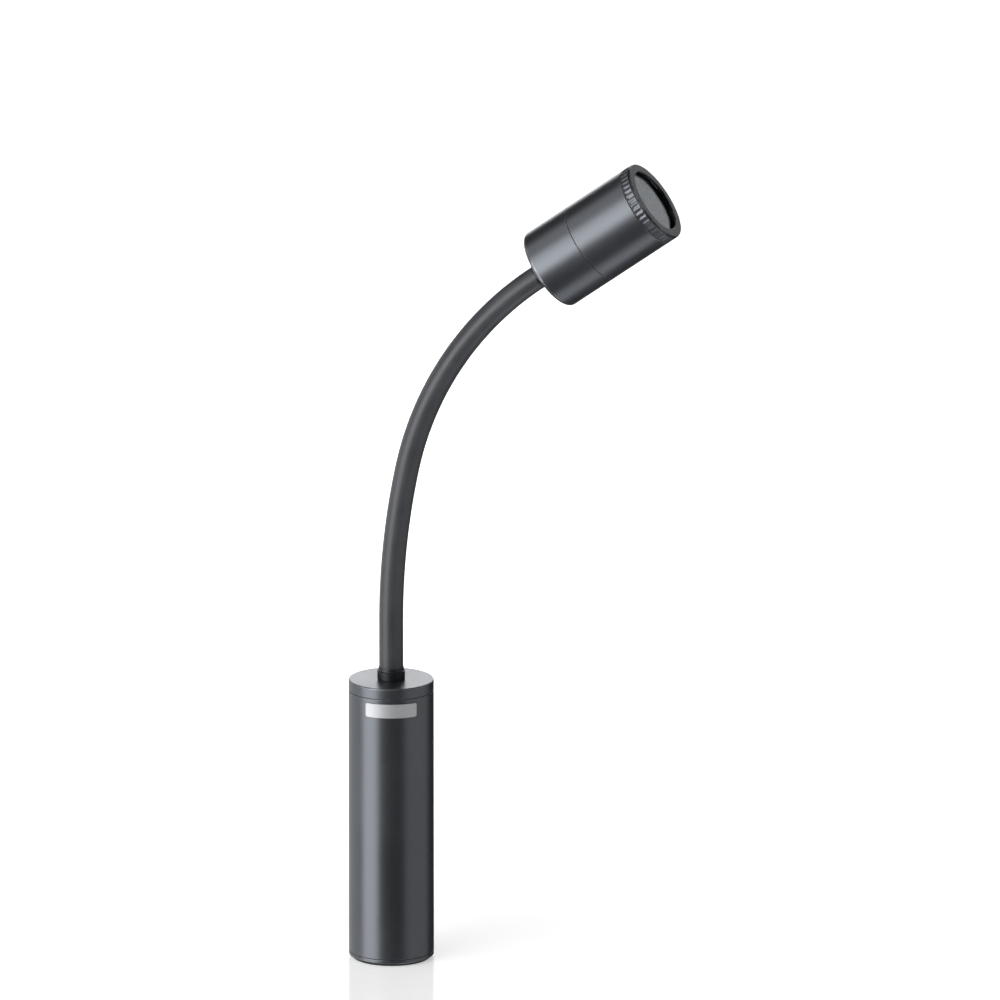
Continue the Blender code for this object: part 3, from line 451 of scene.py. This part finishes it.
CAP_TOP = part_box("base_top_cap")[1][2]
BASE_RADIUS = span("base_tube", UPRIGHT)[2]
BORE = BASE_RADIUS - 2.2 * MM  # the tube's wall is 2.2 mm thick
SPIGOT = BORE - FIT
STUD_HOLE = 6.2 * MM  # for the neck's studs, in the top cap and in the head
BUTTON_HOLE = 6.3 * MM
INLET_HOLE = 4.9 * MM
SCREW_HOLE = 2.0 * MM
SCREW_SEAT = 3.7 * MM
BUTTON_Z = np.mean([corner[2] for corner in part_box("power_button")])
INLET_Z = np.mean([corner[2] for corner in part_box("charging_inlet")])
BUTTON_PLACE = placement((0, 0, BUTTON_Z), (0, 1, 0))
INLET_PLACE = placement((0, 0, INLET_Z), (0, 1, 0))


def make_tube():
    """The base's tube, with holes for the button and the charging inlet through its back."""
    low, high, _ = span("base_tube", UPRIGHT)
    rows = np.linspace(low, high, 24)[1:-1]
    corners = [(BORE, high, 0.1 * MM), (BASE_RADIUS, high, 0.25 * MM)]
    corners += [(BASE_RADIUS, row, 0.0) for row in rows[::-1]]
    corners += [(BASE_RADIUS, low, 0.25 * MM), (BORE, low, 0.1 * MM)]
    corners += [(BORE, row, 0.0) for row in rows]
    tube = turned("base_tube_shell", corners)
    holes = ((BUTTON_HOLE, BUTTON_PLACE), (INLET_HOLE, INLET_PLACE))
    drilled(tube, [cutter(hole, BORE - 3 * MM, BASE_RADIUS + 2 * MM, at) for hole, at in holes])
    dress(tube, BODY, "base", "body", "base_tube")


def make_cap():
    """The top cap: a plate over a hollow spigot that sits in the tube."""
    low, high, radius = span("base_top_cap", UPRIGHT)
    corners = [
        (STUD_HOLE, high, 0.2 * MM),
        (radius, high, 0.9 * MM),
        (radius, low + 5 * MM, 0.25 * MM),
        (SPIGOT, low + 5 * MM, 0.0),
        (SPIGOT, low, 0.3 * MM),
        (SPIGOT - 3.5 * MM, low, 0.3 * MM),
        (SPIGOT - 3.5 * MM, high - 6 * MM, 0.8 * MM),
        (STUD_HOLE, high - 6 * MM, 0.2 * MM),
    ]
    dress(turned("top_cap", corners), BODY, "base", "body", "base_top_cap")


def make_plate():
    """The bottom plate, with a seat and a hole for each of its three screws."""
    low, high, radius = span("base_plate", UPRIGHT)
    corners = [
        (0, high, 0.0),
        (SPIGOT, high, 0.4 * MM),
        (SPIGOT, low + 3 * MM, 0.0),
        (radius, low + 3 * MM, 0.25 * MM),
        (radius, low, 0.9 * MM),
        (0, low, 0.0),
    ]
    plate = turned("bottom_plate", corners, solid=True)
    holes = []
    for number in (1, 2, 3):
        box = np.array(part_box(f"base_screw_{number}"))
        middle = (box[0] + box[1]) / 2 * (1, 1, 0)
        place = placement(middle, (0, 0, 1))
        head_top = box[0][2] + 2 * MM
        holes.append(cutter(SCREW_SEAT, low - 1 * MM, head_top + FIT, place))
        holes.append(cutter(SCREW_HOLE, low, high + 1 * MM, place))
    drilled(plate, holes)
    dress(plate, BODY, "base", "body", "base_plate")


def make_foot():
    """A rubber disc with shallow rings moulded into its underside."""
    low, high, radius = span("rubber_foot", UPRIGHT)
    corners = [(0, high, 0.0), (radius, high, 0.2 * MM), (radius, low, 0.4 * MM)]
    groove, draft, pitch, depth, fillet = 1.2 * MM, 0.2 * MM, 4.0 * MM, 0.5 * MM, 0.1 * MM
    for outer in np.arange(radius - pitch, pitch, -pitch):
        corners += [(outer, low, fillet), (outer - draft, low + depth, fillet)]
        corners += [(outer - groove, low + depth, fillet), (outer - groove - draft, low, fillet)]
    corners += [(0, low, 0.0)]
    dress(turned("foot_pad", corners, solid=True), RUBBER, "base", "rubber", "rubber_foot")


def make_nameplate():
    """A curved plate with round corners.

    At a height y from its middle its half width is w(y) = W/2 - r + sqrt(r^2 - (|y| - H/2 + r)^2)
    past the corners' start and W/2 between them. A point at share u of that is on the circle of its
    radius at the angle u w(y) / radius. Front and back close on each other at the rim.
    """
    points = local_points("nameplate", UPRIGHT)
    radius = np.hypot(points[:, 0], points[:, 1])
    inner, outer = radius.min() + 0.02 * MM, radius.max()
    box = np.array(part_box("nameplate"))
    middle_z, half_height = box[:, 2].mean(), np.ptp(box[:, 2]) / 2
    front = points[radius > outer - 0.05 * MM]
    angles = np.arctan2(front[:, 1], front[:, 0])
    middle, half_width = (angles.max() + angles.min()) / 2, np.ptp(angles) / 2 * outer
    corner = 1.6 * MM
    rise = half_height * np.sin(np.linspace(-0.5, 0.5, 41) * math.pi)
    past = np.maximum(np.abs(rise) - half_height + corner, 0.0)
    width = half_width - corner + np.sqrt(np.maximum(corner**2 - past**2, 0.0))
    share = np.sin(np.linspace(-0.5, 0.5, 65) * math.pi)
    across = np.concatenate([share, share[-2:0:-1]])
    side = np.concatenate([np.ones(65), -np.ones(63)])
    bevel = 0.12 * MM
    rim_x = np.clip((1 - np.abs(across)[None, :]) * width[:, None] / bevel, 0, 1)
    rim_y = np.clip((half_height - np.abs(rise)) / bevel, 0, 1)[:, None]
    bulge = np.sqrt(1 - (1 - np.minimum(rim_x, rim_y)) ** 2)
    depth = (outer + inner) / 2 + side[None, :] * bulge * (outer - inner) / 2
    angle = middle + across[None, :] * width[:, None] / outer
    height = np.repeat(middle_z + rise[:, None], len(across), axis=1)
    grid = np.stack([depth * np.cos(angle), depth * np.sin(angle), height], -1)
    uv = np.stack([(angle - middle) * outer, height - middle_z], -1)
    plate = grid_object("blank_nameplate", grid, uv=uv, wrap_rows=False)
    dress(plate, PLATE, "base", "nameplate", "nameplate")


def make_button():
    """A push-button with a dished face over its flange and stem."""
    low, high, _ = span("power_button", BUTTON_PLACE)
    points = local_points("power_button", BUTTON_PLACE)
    wide = points[np.hypot(points[:, 0], points[:, 1]) > 7.5 * MM]
    flange_low, flange_high = wide[:, 2].min(), wide[:, 2].max()
    dish, depth = 4.6 * MM, 0.55 * MM
    rings = np.linspace(0, dish, 8)
    corners = [(ring, high - depth * (1 - (ring / dish) ** 2), 0.0) for ring in rings]
    corners += [
        (6.0 * MM, high, 0.55 * MM),
        (6.0 * MM, flange_high, 0.0),
        (8.0 * MM, flange_high, 0.2 * MM),
        (8.0 * MM, flange_low, 0.2 * MM),
        (3.0 * MM, flange_low, 0.0),
        (3.0 * MM, low, 0.3 * MM),
        (0.0, low, 0.0),
    ]
    button = turned("push_button", corners, BUTTON_PLACE, sides=96, solid=True)
    dress(button, BLACK, "button", "black_plastic", "power_button")


def make_inlet():
    """The charging socket: a cup with a rim that stands on the tube."""
    low, high, rim = span("charging_inlet", INLET_PLACE)
    seat = BASE_RADIUS + FIT
    corners = [
        (3.2 * MM, high, 0.35 * MM),
        (rim, high, 0.5 * MM),
        (rim, seat, 0.15 * MM),
        (4.6 * MM, seat, 0.0),
        (4.6 * MM, low, 0.3 * MM),
        (0.0, low, 0.0),
        (0.0, high - 10 * MM, 0.0),
        (3.2 * MM, high - 10 * MM, 0.2 * MM),
    ]
    profile, edge = rounded(corners, closed=True)
    inlet = grid_object("charging_socket", turned_grid(profile, INLET_PLACE, 96), edge)
    dress(inlet, BLACK, "base", "black_plastic", "charging_inlet")


# Neck: a straight run, a wide arc, a tighter arc and a short straight end

NECK_STRAIGHT = 42.0 * MM
NECK_ARCS = ((540.0 * MM, math.radians(12)), (238.0 * MM, math.radians(42.3)))
NECK_END = 10.0 * MM
NECK_LENGTH = NECK_STRAIGHT + sum(radius * turn for radius, turn in NECK_ARCS) + NECK_END
JOINT_COUNT = 12
FIRST_JOINT = 10.0 * MM
JOINT_STEP = (NECK_LENGTH - NECK_END - FIRST_JOINT) / (JOINT_COUNT - 1)
SLEEVE_OUTER = 8.5 * MM
SLEEVE_INNER = 7.3 * MM
SLEEVE_TUCK = 4.0 * MM  # how far the sleeve's ends reach into the collar and the ferrule
DOME = SLEEVE_OUTER - 0.1 * MM  # the band of a sphere that each length ends in
DOME_INNER = 7.5 * MM
DOME_SWEEP = 20  # degrees
HOLLOW = SLEEVE_OUTER - 0.02 * MM  # the cup that fits over it


def neck_line(distance):
    """Points on the neck's line and its heading from upright, for an array of distances.

    Each arc of radius R turns the heading h by t = clip(left / R, 0, its own turn), where left is
    the distance past the runs before it, and moves the point by R (1 - cos t) across the heading
    and R sin t along it. What is left after both arcs is straight.
    """
    run = np.minimum(distance, NECK_STRAIGHT)
    left, heading = distance - run, np.zeros_like(distance)
    x, z = np.zeros_like(distance), CAP_TOP + run
    for radius, whole_turn in NECK_ARCS:
        turn = np.clip(left / radius, 0, whole_turn)
        across, along = radius * (1 - np.cos(turn)), radius * np.sin(turn)
        x = x + across * np.cos(heading) + along * np.sin(heading)
        z = z + along * np.cos(heading) - across * np.sin(heading)
        heading, left = heading + turn, left - radius * turn
    x, z = x + left * np.sin(heading), z + left * np.cos(heading)
    return np.stack([x, np.zeros_like(x), z], -1), heading


def make_sleeve(number, body, *nodes):
    """One stiff length of sleeve, from joint to joint: rings stand square to the neck's line.

    Its far end is a dome, a band of a sphere of radius R about the next joint: at the angle t its
    rings lie R sin t past the joint, R cos t wide. Its near end is a mouth hollowed by the same
    rule to fit over the dome below, so that the lengths turn like a ball in a cup and stay closed.
    """
    start = FIRST_JOINT + (number - 1) * JOINT_STEP
    end = start + JOINT_STEP
    if number == 0:
        start = end - SLEEVE_TUCK
    if number == JOINT_COUNT:
        end = start + SLEEVE_TUCK
    distance, radius = [np.linspace(start, end, 25)], [np.full(25, SLEEVE_OUTER)]
    inner_start, inner_end = start, end
    if number < JOINT_COUNT:
        turn = np.radians(np.linspace(0, DOME_SWEEP, 9))
        distance += [end + DOME * np.sin(turn), end + DOME_INNER * np.sin(turn[::-1])]
        radius += [DOME * np.cos(turn), DOME_INNER * np.cos(turn[::-1])]
        inner_end = end - 0.8 * MM
    if number > 0:
        turn = np.linspace(math.acos(SLEEVE_INNER / HOLLOW), 0, 9)
        inner_start = start + HOLLOW * math.sin(turn[0]) + 0.2 * MM
    distance.append(np.linspace(inner_end, inner_start, 13))
    radius.append(np.full(13, SLEEVE_INNER))
    if number > 0:
        distance.append(start + HOLLOW * np.sin(turn))
        radius.append(HOLLOW * np.cos(turn))
    distance, radius = np.concatenate(distance), np.concatenate(radius)
    points, heading = neck_line(distance)
    angle = np.linspace(0, 2 * math.pi, SMALL_SIDES, endpoint=False) + math.pi / 2
    across = radius[:, None] * np.cos(angle)[None, :]
    side = radius[:, None] * np.sin(angle)[None, :]
    level, steep = np.cos(heading)[:, None], np.sin(heading)[:, None]
    grid = np.stack([across * level, side, -across * steep], -1)
    grid += points[:, None, :]
    around = np.repeat((angle - math.pi / 2)[None, :] * SLEEVE_OUTER, len(distance), axis=0)
    uv = np.stack([around, np.repeat(distance[:, None], SMALL_SIDES, axis=1)], -1)
    sleeve = grid_object(f"sleeve_length_{number:02d}", grid, uv=uv)
    dress(sleeve, SLEEVE, body, "sleeve", *nodes)


SOCKET = 5.3 * MM
BALL = 5.0 * MM
CABLE_BORE = 1.9 * MM
COLLAR_PLACE = placement((0, 0, CAP_TOP), (0, 0, 1))


def make_collar():
    """The flared collar, with a recess for the sleeve, and the first ball's socket inside it."""
    corners = arc(10.0 * MM, 7.0 * MM, 1.0 * MM, 180, 262)
    corners += scaled([(9.8, 0.3, 0.25), (5.9, 0.3, 0.0), (5.9, -12.3, 0.5), (1.9, -12.3, 0.1)])
    low = -math.degrees(math.acos(CABLE_BORE / SOCKET))
    high = math.degrees(math.asin(2.4 * MM / SOCKET))
    corners += arc(0, FIRST_JOINT, SOCKET, low, high)
    corners += scaled([(5.7, 12.4, 0.0), (6.6, 10.8, 0.3), (6.6, 5.4, 0.2), (8.6, 5.4, 0.2)])
    corners += scaled([(8.6, 8.8, 0.08), (8.9, 8.8, 0.12)])
    collar = turned("collar", corners, COLLAR_PLACE)
    dress(collar, TRIM, "base", "trim", "neck_collar")


def make_ferrule():
    """The ferrule around the sleeve's end, with the last ball inside and the stud in front."""
    low = -math.degrees(math.acos(CABLE_BORE / BALL))
    high = math.degrees(math.acos(3.6 * MM / BALL))
    corners = arc(0, -NECK_END, BALL, low, high)
    corners += scaled([(3.6, -5.2, 0.3), (8.6, -4.4, 0.2), (8.6, -8.6, 0.08), (9.0, -8.6, 0.15)])
    corners += scaled([(9.0, -0.3, 0.2), (5.9, -0.3, 0.0), (5.9, 10.3, 0.5), (1.9, 10.3, 0.1)])
    dress(turned("ferrule", corners, HEAD, sides=96), TRIM, "head", "trim", "head_ferrule")


def make_neck():
    """The sleeve: a stub in the collar, a length on each link and a stub in the ferrule."""
    make_sleeve(0, "base")
    for number in range(1, JOINT_COUNT):
        make_sleeve(number, f"link_{number:02d}", f"neck_sleeve_{number:02d}")
    make_sleeve(JOINT_COUNT, "head")


# Head. Heights run from the middle of its rear face towards the front.


def make_rear_housing():
    """The head's rear shell: a cup with a round shoulder."""
    low, high, radius = span("head_rear_housing", HEAD)
    bore = radius - 2.5 * MM
    corners = [
        (STUD_HOLE, low, 0.2 * MM),
        (radius, low, 3.0 * MM),
        (radius, high, 0.3 * MM),
        (bore, high, 0.1 * MM),
        (bore, low + 4 * MM, 1.5 * MM),
        (STUD_HOLE, low + 4 * MM, 0.2 * MM),
    ]
    housing = turned("rear_shell", corners, HEAD, steps=9)
    dress(housing, BODY, "head", "body", "head_rear_housing")


def make_barrel():
    """The head's barrel, with seats for the rear shell, the focus ring and the bezel."""
    corners = scaled([
        (26.4, 93.5, 0.1), (28.0, 93.5, 0.2), (28.0, 87.0, 0.0), (30.0, 87.0, 0.55),
        (30.0, 38.3, 0.3), (27.2, 38.3, 0.0), (27.2, 34.6, 0.3), (25.4, 34.6, 0.2),
        (25.4, 40.3, 0.0), (27.5, 42.3, 0.0), (27.5, 82.6, 0.0), (22.8, 84.6, 0.1),
        (22.8, 89.6, 0.15), (26.4, 89.6, 0.0),
    ])
    barrel = turned("barrel_shell", corners, HEAD)
    dress(barrel, BODY, "head", "body", "head_barrel")


def make_key():
    """The rib along the barrel's bore that keeps the carrier from turning: a bar with round edges.

    Its section is x = a |cos t|^p sign(cos t), y = b |sin t|^p sign(sin t) with p = 0.3, and its
    ends draw in by a quarter circle.
    """
    sides, power, round_end = 48, 0.3, 0.4 * MM
    low, high = 43.8 * MM, 81.1 * MM
    half_width, half_depth, from_axis = 1.5 * MM, 0.8 * MM, 26.6 * MM
    angle = np.linspace(0, 2 * math.pi, sides, endpoint=False)
    x = half_width * np.sign(np.cos(angle)) * np.abs(np.cos(angle)) ** power
    y = half_depth * np.sign(np.sin(angle)) * np.abs(np.sin(angle)) ** power
    turn = np.linspace(0, math.pi / 2, 6)
    rising, falling = round_end * (1 - np.cos(turn)), round_end * (1 - np.sin(turn))
    inset = np.concatenate([[half_width], falling, rising, [half_width]])
    height = np.concatenate([[low], low + rising, high - falling, [high]])
    shrink = (1 - inset / half_width)[:, None]
    height = np.repeat(height[:, None], sides, axis=1)
    grid = np.stack([x * shrink, from_axis + y * shrink, height], -1)
    turn_matrix, origin = HEAD
    key = grid_object("carrier_key", grid @ turn_matrix.T + origin, wrap_rows=False)
    dress(key, BODY, "head", "body")


FLUTES = 48


def make_focus_ring():
    """The grip ring. Its flutes follow -d (0.5 - 0.5 cos(n a)), fading out at its chamfers."""
    low, high, radius = span("focus_ring", HEAD)
    depth, chamfer, bore = 0.5 * MM, 0.9 * MM, 28.3 * MM

    def flutes(angle, height, here):
        fade = np.clip(np.minimum(height - low, high - height) / chamfer, 0, 1)
        grip = here > radius - 1.2 * MM
        return -depth * np.where(grip, fade, 0) * (0.5 - 0.5 * np.cos(FLUTES * angle)) ** 0.8

    rows = [(radius, row, 0.0) for row in np.linspace(high - chamfer, low + chamfer, 7)]
    corners = [(bore, high, 0.15 * MM), (radius, high, 0.5 * MM)] + rows
    corners += [(radius, low, 0.5 * MM), (bore, low, 0.15 * MM)]
    grip = turned("grip_ring", corners, HEAD, sides=FLUTES * 10, ripple=flutes)
    # the ring's metal is the body's grey painted lighter, to offset the shade of its flutes
    dress(grip, GRIP_PAINTED_LIGHTER, "ring", "body", "focus_ring")


def make_bezel():
    """The dark front rim, with a groove behind it for the glass's seal."""
    corners = scaled([
        (23.2, 95.0, 0.55), (29.6, 95.0, 0.6), (29.6, 93.8, 0.2), (26.1, 93.8, 0.0),
        (26.1, 92.6, 0.2), (24.6, 92.6, 0.2), (24.6, 93.8, 0.0), (23.2, 93.8, 0.1),
    ])
    dress(turned("front_bezel", corners, HEAD), TRIM, "head", "trim", "bezel")


def make_front_glass():
    """The flat front pane."""
    low, high, radius = span("front_glass", HEAD)
    corners = [(0, high, 0), (radius, high, 0.25 * MM), (radius, low, 0.25 * MM), (0, low, 0)]
    pane = turned("glass_pane", corners, HEAD, solid=True)
    dress(pane, GLASS, "head", "glass", "front_glass")


def make_carrier():
    """The lens carrier: fine anti-glare grooves in its bore and a slot along it for the key."""
    low, high, radius = span("lens_carrier", HEAD)
    inner, bore = 24.0 * MM, 21.5 * MM
    half, floor = 1.85 * MM, 25.5 * MM

    def slot(angle, height, here):
        inside = np.abs(here * np.cos(angle)) < half
        inside &= np.sin(angle) > 0
        return np.where(inside & (here > floor), floor - here, 0.0)

    corners = [(radius, high, 0.3 * MM), (radius, low, 0.3 * MM), (bore, low, 0.2 * MM)]
    corners += [(bore, low + 4 * MM, 0.1 * MM), (inner, low + 4 * MM, 0.0)]
    above_lens, pitch, groove_depth = low + 10.4 * MM, 0.6 * MM, 0.25 * MM
    for groove in np.arange(above_lens, high - 0.5 * MM, pitch):
        corners += [(inner, groove, 0.0), (inner + groove_depth, groove + pitch / 2, 0.0)]
    corners += [(inner, high, 0.2 * MM)]
    carrier = turned("carrier_sleeve", corners, HEAD, sides=480, steps=3, ripple=slot)
    dress(carrier, TRIM, "carrier", "trim", "lens_carrier")


def make_lens():
    """The condenser lens: flat behind and a cap of a sphere in front."""
    low, high, radius = span("condenser_lens", HEAD)
    crown = high - low - 2 * MM
    curve = (radius**2 + crown**2) / (2 * crown)
    edge_angle = math.degrees(math.acos(radius / curve))
    corners = arc(0, high - curve, curve, 90, edge_angle, 40)
    corners += [(radius, low, 0.25 * MM), (0, low, 0.0)]
    lens = turned("condenser", corners, HEAD, solid=True)
    dress(lens, GLASS, "carrier", "glass", "condenser_lens")


def make_lens_ring():
    """The ring that holds the lens in its carrier."""
    low, high, radius = span("lens_ring", HEAD)
    bore = radius - 1.1 * MM
    corners = [(radius, high, 0.1 * MM), (radius, low, 0.1 * MM)]
    corners += [(bore, low, 0.2 * MM), (bore, high, 0.3 * MM)]
    dress(turned("retaining_ring", corners, HEAD), TRIM, "carrier", "trim", "lens_ring")


def make_light_source():
    """The LED's dome on its base and the cone of clear plastic that gathers its light."""
    low, high, radius = span("led_collimator", HEAD)
    corners = [
        (0, high, 0), (radius, high, 0.2 * MM), (radius, high - 1.5 * MM, 0.2 * MM),
        (8.9 * MM, low + 8 * MM, 6 * MM), (5.5 * MM, low + 3 * MM, 0.8 * MM),
        (5.5 * MM, low, 0.1 * MM),
        (4.2 * MM, low, 0.1 * MM), (4.2 * MM, low + 5.4 * MM, 0.4 * MM), (0, low + 6.4 * MM, 0),
    ]
    optic = turned("collimator", corners, HEAD, sides=96, solid=True)
    dress(optic, ACRYLIC, "head", "clear_plastic", "led_collimator")
    low, high, radius = span("led_emitter", HEAD)
    dome = arc(0, low + 1 * MM, high - low - 1 * MM, 90, 4, 10)
    corners = dome + [(radius, low + 1 * MM, 0.15 * MM), (radius, low, 0.1 * MM), (0, low, 0)]
    led = turned("led", corners, HEAD, sides=48, solid=True)
    dress(led, LED, "head", "led", "led_emitter")


# CAD nodes that show as they are


def dress_nodes():
    """Materials of the CAD nodes whose shapes are already right, by their slots."""
    low, high = (corner[2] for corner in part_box("battery_cell_1"))
    finishes = {
        "links": STEEL,
        "steel": STEEL,
        "heat_sink": SINK,
        "rubber": RUBBER,
        "black_plastic": BLACK,
        "circuit_board": BOARD,
        "cells": wrapped_cell("cell_wrap", low, high),
    }
    for part in frame["record"]["subparts"]:
        finish = finishes.get(part["material_slot"])
        if finish:
            node = frame["nodes"][part["node"]]
            node.data.materials.clear()
            node.data.materials.append(finish)


# Studio


def make_floor():
    """A pale floor under a weak gloss. It glows a little, and less near the lamp, which paints a soft shadow round
    the lamp's foot.
    """
    mesh = bpy.data.meshes.new("floor")
    half = 6.0
    corners = [(-half, -half, 0), (half, -half, 0), (half, half, 0), (-half, half, 0)]
    mesh.from_pydata(corners, [], [(0, 1, 2, 3)])
    floor = bpy.data.objects.new("floor", mesh)
    bpy.context.scene.collection.objects.link(floor)
    paper = Finish("floor_paper")
    tone = paper.mix(paper.noise(400.0), (0.90, 0.90, 0.90), (0.93, 0.93, 0.93))
    paper.set(Base_Color=tone, Roughness=0.9, Specular_IOR_Level=0.0)
    away = paper.node("ShaderNodeVectorMath", {0: paper.place}, output=1, operation="LENGTH")
    # painted shadow: the glow drops towards the lamp and darkens the floor round its foot
    glow_with_painted_shadow = paper.span(away, *PAINTED_SHADOW_SPREAD, *FLOOR_GLOW_WITH_PAINTED_SHADOW)
    paper.set(Emission_Color=(1.0, 1.0, 1.0), Emission_Strength=glow_with_painted_shadow)
    lacquer = paper.node("ShaderNodeBsdfGlossy", {"Roughness": 0.09})
    both = {0: FLOOR_GLOSS, 1: paper.surface.outputs[0], 2: lacquer}
    sheet = paper.node("ShaderNodeMixShader", both)
    paper.feed(paper.tree.nodes["Material Output"].inputs["Surface"], sheet)
    mesh.materials.append(paper.material)
    floor.visible_glossy = False
    floor.visible_shadow = False


def direction(azimuth, elevation):
    """The unit vector towards an azimuth, from -Y towards +X, and an elevation, in degrees."""
    azimuth, elevation = math.radians(azimuth), math.radians(elevation)
    level = math.cos(elevation)
    return Vector((math.sin(azimuth) * level, -math.cos(azimuth) * level, math.sin(elevation)))


def aimed(name, data, aim, away, distance):
    """A light or a camera at a distance from the aim, facing it."""
    made = bpy.data.objects.new(name, data)
    facing = away.to_track_quat("Z", "Y").to_matrix().to_4x4()
    made.matrix_world = Matrix.Translation(Vector(aim) + away * distance) @ facing
    bpy.context.scene.collection.objects.link(made)
    return made


def softbox(name, azimuth, elevation, distance, width, height, power, aim, tint=(1.0, 1.0, 1.0)):
    """A flat light, seen only by what it lights."""
    light = bpy.data.lights.new(name, "AREA")
    light.shape = "RECTANGLE"
    light.size, light.size_y = width, height
    light.energy = power
    light.color = tint
    lamp = aimed(name, light, aim, direction(azimuth, elevation), distance)
    lamp.visible_camera = False


def make_world(brightness):
    """White where the camera looks past everything, and dim for all other rays."""
    world = bpy.data.worlds.new("studio")
    world.use_nodes = True
    tree = world.node_tree
    background = tree.nodes["Background"]
    seen = tree.nodes.new("ShaderNodeLightPath").outputs["Is Camera Ray"]
    level = tree.nodes.new("ShaderNodeMapRange")
    tree.links.new(seen, level.inputs["Value"])
    level.inputs["To Min"].default_value = brightness
    level.inputs["To Max"].default_value = 1.0
    tree.links.new(level.outputs[0], background.inputs["Strength"])
    background.inputs["Color"].default_value = (1.0, 1.0, 1.0, 1.0)
    bpy.context.scene.world = world


def make_camera(azimuth, elevation, distance, across, aim):
    """A long lens from far off. The aim is given along the picture's right and up directions."""
    away, right = direction(azimuth, elevation), direction(azimuth + 90, 0)
    up = away.cross(right)
    camera = bpy.data.cameras.new("camera")
    camera.sensor_width = 36
    camera.lens = 36 * distance / across
    camera.clip_end = 100
    centre = right * aim[0] + up * aim[1]
    bpy.context.scene.camera = aimed("camera", camera, centre, away, distance)


FLOOR_GLOW_WITH_PAINTED_SHADOW = (0.50, 1.15)  # near the lamp, dimmed there as a painted shadow, and away from it
# distances from the lamp over which the painted shadow fades into the full glow
PAINTED_SHADOW_SPREAD = (0.15, 0.5)
FLOOR_GLOSS = 0.10
WORLD_GLOW = 0.025
LOW, MIDDLE, HIGH = (0.0, 0, -0.2), (0.06, 0, 0.28), (0.15, 0, 0.54)  # where the lights aim
COOL = (0.93, 0.96, 1.0)
LIGHTS = (  # azimuth, elevation, distance, width, height, power and aim
    ("key", -46, 0, 1.6, 1.4, 1.6, 17.5, LOW),
    ("left_fill", -108, 0, 1.6, 1.9, 2.0, 9, LOW),
    ("head_key", -33, 11, 1.7, 1.5, 1.2, 16.5, HIGH),
    ("head_low", 60, -76, 1.5, 0.8, 0.8, 2.2, HIGH),
    ("head_high", -78, 34, 1.7, 1.0, 0.9, 2.6, HIGH),
    ("side", 90, 0, 1.6, 2.6, 2.0, 7, LOW),
    ("back", 188, 17, 2.2, 1.7, 0.9, 11.5, MIDDLE),
    ("back_fill", 202, -4, 2.0, 1.6, 1.6, 4, MIDDLE),
    ("glass_panel", 160, 8, 2.2, 0.7, 0.7, 1.05, HIGH, COOL),
    ("ceiling", 0, 88, 1.8, 1.6, 1.6, 4, MIDDLE),
)

make_tube()
make_cap()
make_plate()
make_foot()
make_nameplate()
make_button()
make_inlet()
make_collar()
make_neck()
make_ferrule()
make_rear_housing()
make_barrel()
make_key()
make_focus_ring()
make_bezel()
make_front_glass()
make_carrier()
make_lens()
make_lens_ring()
make_light_source()
dress_nodes()
make_floor()
for light in LIGHTS:
    softbox(*light)
make_world(WORLD_GLOW)
make_camera(14, 15, 20.0, 0.706, (0.0766, 0.3216))
bpy.context.scene.view_settings.view_transform = "Standard"
